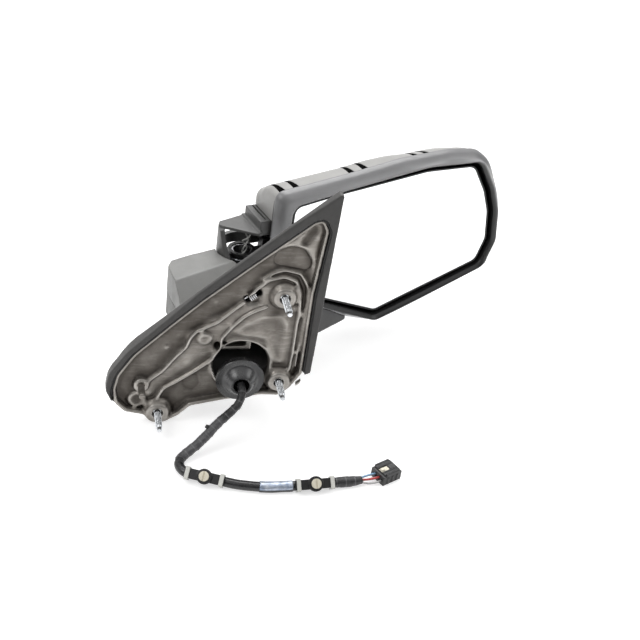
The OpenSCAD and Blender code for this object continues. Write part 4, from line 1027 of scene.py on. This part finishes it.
def slot_shade_sheet():
    """Black strips just under the roof: painted shade, which shows through the slots."""
    o = keep_side(house_skin("slot_shade_sheet", UPPER_END), 110, 1)
    shift(o, arrays(o)[1] * ((-0.35 if faces_out(o) else 0.35) * MM))
    co = arrays(o)[0]
    dx, dy = co[:, 0] / MM - PIVOT[0], co[:, 1] / MM - PIVOT[1]
    x, y = dx * math.cos(TURN) + dy * math.sin(TURN), -dx * math.sin(TURN) + dy * math.cos(TURN)
    by_slot = np.min([np.abs(x - at) for at in SLOT_X], axis=0) < 5.2
    with edited(o) as bm:
        bm.verts.ensure_lookup_table()
        away = np.flatnonzero(~by_slot | (y > 9.5) | (y < -17.6))
        bmesh.ops.delete(bm, geom=[bm.verts[i] for i in away], context="VERTS")
    return thicken(o, 0.5)


upper = thicken(keep_side(house_skin("upper_housing_skin", UPPER_END), 78.1, 1), SHELL)
# The sheet of painted shade under the slots.
finish(slot_shade_sheet(), HEAD, SLOT_SHADE, ["upper_housing"])
wedge = [(dx, dy - BACK, z) for z in (112, 172) for dx, dy in SLOT_WEDGE]
slots = [block("slot", [head(x + dx, y, z) for dx, y, z in wedge]) for x in SLOT_X]
cut(upper, box("c", (-20, -BACK - 2, 40), (24.5, 60, 105.4)), *slots)
finish(wear(upper, 2, 0.4), HEAD, SHELL_LIGHT, ["upper_housing"], 40)
lower = thicken(keep_side(house_skin("lower_housing_skin", LOWER_END), 78.0, -1), SHELL)
cut(lower, box("c", (15, -BACK - 0.5, 51), (32, 11.5, 91)))
finish(wear(lower, 2, 0.4), HEAD, SHELL_DARK, ["lower_housing"], 40)
COVER = [[25, 35], [25, 4], [44, -23], [79, -22.5], [107, -12], [107, -8]]
o = soften(prism("lower_cover_look", rounded(COVER, [1, 8, 8, 7, 2, 1], 6), -FRONT + 3.6, -8), 0.7, 4)
finish(wear(o), HEAD, SHELL_LOW, ["lower_cover"])
moulding("pivot_shroud", 0.55, 4, GREY_SHROUD, "shroud_plastic", body=HEAD)

# -------- glass
g_ang = stations(rounded(GLASS, GLASS_R), 720)
g = polar(rounded(GLASS, GLASS_R), g_ang)
# The glass's face, then its ground edge and back: radii, and how far behind the face
ground = ((0.01, 0), (g * 0.5, 0), (g - 0.9, 0), (g - 0.5, 0.02), (g - 0.06, 0.32), (g, 0.5), (g, 1.7),
          (g - 0.25, 1.97), (g * 0.5, 1.97), (0.01, 1.97))
rows = [(r, RECESS - FRONT + back) for r, back in ground]
glass = outward(rings("mirror_glass_ground", rows, g_ang, False))
glass.data.materials.append(glass_material())
glass.data.materials.append(glass_edge_material())
front_n = (Vector(head(0, -1, 0)) - Vector(head(0, 0, 0))).normalized()
for p in glass.data.polygons:
    p.material_index = 0 if p.normal.dot(front_n) > 0.97 else 1
finish(glass, "glass", None, ["mirror_glass"], 20)

# -------- harness fittings
FITTINGS = (("harness_clips", 0.36, 3, BLACK, "clip_black"), ("clip_straps", 0.30, 2, STRAP, "clip_band"),
            ("clip_buttons", 0.26, 2, CREAM, "clip_cream"), ("connector_body", 0.34, 2, BLACK, "plug_black"),
            ("connector_latch", 0.24, 2, CREAM, "clip_cream"))
goes_with = [moulding(*fitting, worn=1) for fitting in FITTINGS]
TAB_TAPE = moulded("tab_tape", lin(40, 40, 42), 0.34, 0.8, 0.10, 0.3, 0.6)
tab = roughen(soften(cad("tape_tab"), 0.3, 3), 3, 5, 0.12)
goes_with.append(finish(wear(tab, 1), BASE, TAB_TAPE, ["tape_tab"]))

LABEL_FROM, LABEL_TO, LABEL_R = -26, 1.5, 4.72
label_line = [q for q in spline(ROUTE[16:21], 24) if LABEL_FROM < q[0] < LABEL_TO]
label = tube("label_wrap", label_line, lambda th, s, total: LABEL_R + 0.07 * math.sin(5 * th + 0.4 * s), 40)
goes_with.append(finish(label, BASE, label_material(), ["label_sleeve"]))

LEADS = (("lead_grey", (190, 190, 190)), ("lead_red", (186, 66, 66)), ("lead_pink", (214, 150, 156)),
         ("lead_blue", (140, 180, 212)))
LEAD_END = np.array((74.5, -82.3, LAY))
for k, (name, color) in enumerate(LEADS):
    # The leads fan out to two rows of two
    side, row = k - 1.5, k % 2
    p = [[57.5, -84.8 + side * 0.9, LAY + row * 1.2 - 0.5], [61, -84.4 + side * 1.2, LAY + row * 1.6 - 0.6],
         [67, -84.2 + side * 2.4, LAY + row * 2.2 - 0.8], LEAD_END + [0, side * 2.8, row * 2.4 - 1.2],
         LEAD_END + [4.5, side * 2.8 + 2, row * 2.4 - 1.2]]
    lead = tube(name, spline(p, 8), 0.95, 14)
    goes_with.append(finish(lead, BASE, wire_material(name, lin(*color)), ["harness_leads"]))

# -------- carried-over CAD nodes
CARRIED = {
    "cover_seal": RUBBER, "arm_screws": STEEL, "pivot_post": TUBE, "detent_ring_lower": BLACK,
    "spring_retainer": BLACK, "head_frame": BLACK_FRAME, "detent_ring_upper": BLACK, "frame_screws": ZINC,
    "adjuster_case": BLACK, "adjuster_lid": BLACK_FRAME, "drive_motors": STEEL, "head_wires": RUBBER,
    "tilt_nut": ACETAL, "pan_nut": ACETAL, "tilt_screw": ACETAL, "pan_screw": ACETAL, "gimbal": ACETAL,
    "backing_plate": BLACK, "heater_pad": wire_material("heater_film", lin(150, 84, 50)),
}
for node, mat in CARRIED.items():
    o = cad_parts[node]
    o.data.materials.clear()
    o.data.materials.append(mat)


# -------- floor, light
def graph_of(owner):
    """An empty node tree for a material or world."""
    owner.use_nodes = True
    owner.node_tree.nodes.clear()
    return Graph(owner.node_tree)


def floor_material():
    """A pale floor, lifted to white for the camera and for reflections: only its shadow shows."""
    mat = bpy.data.materials.new("floor")
    g = graph_of(mat)
    pale = 0.62
    ray = g.node("LightPath")
    seen = g.calc("MAXIMUM", ray.outputs["Is Camera Ray"], ray.outputs["Is Glossy Ray"])
    lift = g.node("Emission", ("Color", (1, 1, 1, 1)), ("Strength", g.calc("MULTIPLY", seen, pale)))
    matt = g.node("BsdfDiffuse", ("Color", (pale, pale, pale, 1)))
    both = g.node("AddShader", (0, matt.outputs[0]), (1, lift.outputs[0]))
    g.node("OutputMaterial", ("Surface", both.outputs[0]))
    return mat


def studio():
    """White behind all. Other rays see a large soft light above and behind, little in front."""
    world = bpy.data.worlds.new("world")
    g = graph_of(world)
    ray = g.node("LightPath")
    seen = g.calc("MAXIMUM", ray.outputs["Is Camera Ray"], ray.outputs["Is Transmission Ray"])
    way = g.node("VectorMath", (0, g.node("TexCoord").outputs["Generated"]), (1, (-0.10, 0.45, 0.89)),
                 operation="DOT_PRODUCT")
    ramp = g.node("MapRange", ("Value", way.outputs["Value"]), ("From Min", -0.1), ("From Max", 0.9),
                  ("To Min", 0.11), ("To Max", 0.95), interpolation_type="SMOOTHSTEP")
    strength = g.calc("MAXIMUM", seen, ramp.outputs[0])
    light = g.node("Background", ("Color", (1, 1, 1, 1)), ("Strength", strength))
    g.node("OutputWorld", ("Surface", light.outputs[0]))
    return world


def lamp(name, at, aim, size, watts):
    d = bpy.data.lights.new(name, "AREA")
    d.shape, d.size, d.energy = "DISK", size, watts
    o = place(name, d)
    o.location = at
    o.rotation_euler = (Vector(aim) - Vector(at)).to_track_quat("-Z", "Y").to_euler()


FLOOR_HALF, FLOOR_Y = 4, -0.0436
corners = [(x * FLOOR_HALF, y * FLOOR_HALF, FLOOR_Y) for x, y in ((-1, -1), (1, -1), (1, 1), (-1, 1))]
floor = add("floor", corners, [[0, 1, 2, 3]])
floor.data.materials.append(floor_material())
floor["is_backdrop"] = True
bpy.context.scene.world = studio()
lamp("back", (0.10, 0.75, 1.35), (0.03, 0.08, 0.05), 1.3, 20)
lamp("left", (-1.1, -0.35, 1.1), (0.0, 0.05, 0.05), 0.9, 7)
lamp("right", (1.3, -0.3, 0.9), (0.1, 0.05, 0.05), 0.8, 4)
bpy.context.scene.view_settings.view_transform = "Standard"

# -------- where the image points show
meshes = [o for o in bpy.context.scene.objects if o.type == "MESH"]
shown = [o for o in meshes if not o.hide_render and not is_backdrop(o)]
cord_names = {harness.name} | {o.name for o in goes_with}
solid = [o for o in shown if o.name not in cord_names]
tree_all = BVHTree.FromPolygons(*gathered(shown))


def seen_at(co):
    """Where points in metres show in the image, as rows of x and y in pixels."""
    q = co @ TO_CAMERA[:3, :3].T + TO_CAMERA[:3, 3]
    return np.stack([W / 2 + FOCAL_PX * q[:, 0] / -q[:, 2], H / 2 - FOCAL_PX * q[:, 1] / -q[:, 2]], 1)


def visible(o, keep=None, stride=1, near=1.2 * MM):
    """Where a piece's points show, those that nothing hides. keep chooses among them by their place in mm."""
    co = arrays(o)[0][::stride].astype(float)
    if keep is not None:
        co = co[keep(co / MM)]
    eye, free = CAMERA.translation, []
    for c in co:
        d = Vector(c) - eye
        if tree_all.ray_cast(eye, d.normalized(), d.length - near)[0] is None:
            free.append(c)
    return seen_at(np.array(free)) if free else np.zeros((0, 2))


def middle(o, keep):
    v = visible(o, keep)


def extreme(o, direction, stride=1):
    v = visible(o, stride=stride)
    if len(v):
        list(v[(v @ np.array(direction)).argmax()])


edges = seen_at(np.concatenate([arrays(o)[0] for o in solid]).astype(float))
extreme(sail, (0.2, -1), stride=2)
for name, k in (("stud_upper_tip", 1), ("stud_lower_tip", 0), ("stud_front_tip", 2)):
    x, z = STUDS[k]
    middle(studs, lambda c, x=x, z=z: (np.hypot(c[:, 0] - x, c[:, 2] - z) < 4) & (c[:, 1] < -22.4))
middle(pin, lambda c: c[:, 1] < -11.6)
middle(grommet, lambda c: (np.hypot(c[:, 0] - gx, c[:, 2] - gz) > 20) & (c[:, 1] < 0.2))
extreme(bezel, (0.1, 1), stride=2)
extreme(glass, (-1, 0.1))
extreme(glass, (1, 0.02))
extreme(glass, (0.1, 1))
clips = bpy.data.objects["clip_buttons_look"]
middle(clips, lambda c: c[:, 0] < -40)
middle(clips, lambda c: c[:, 0] > 0)
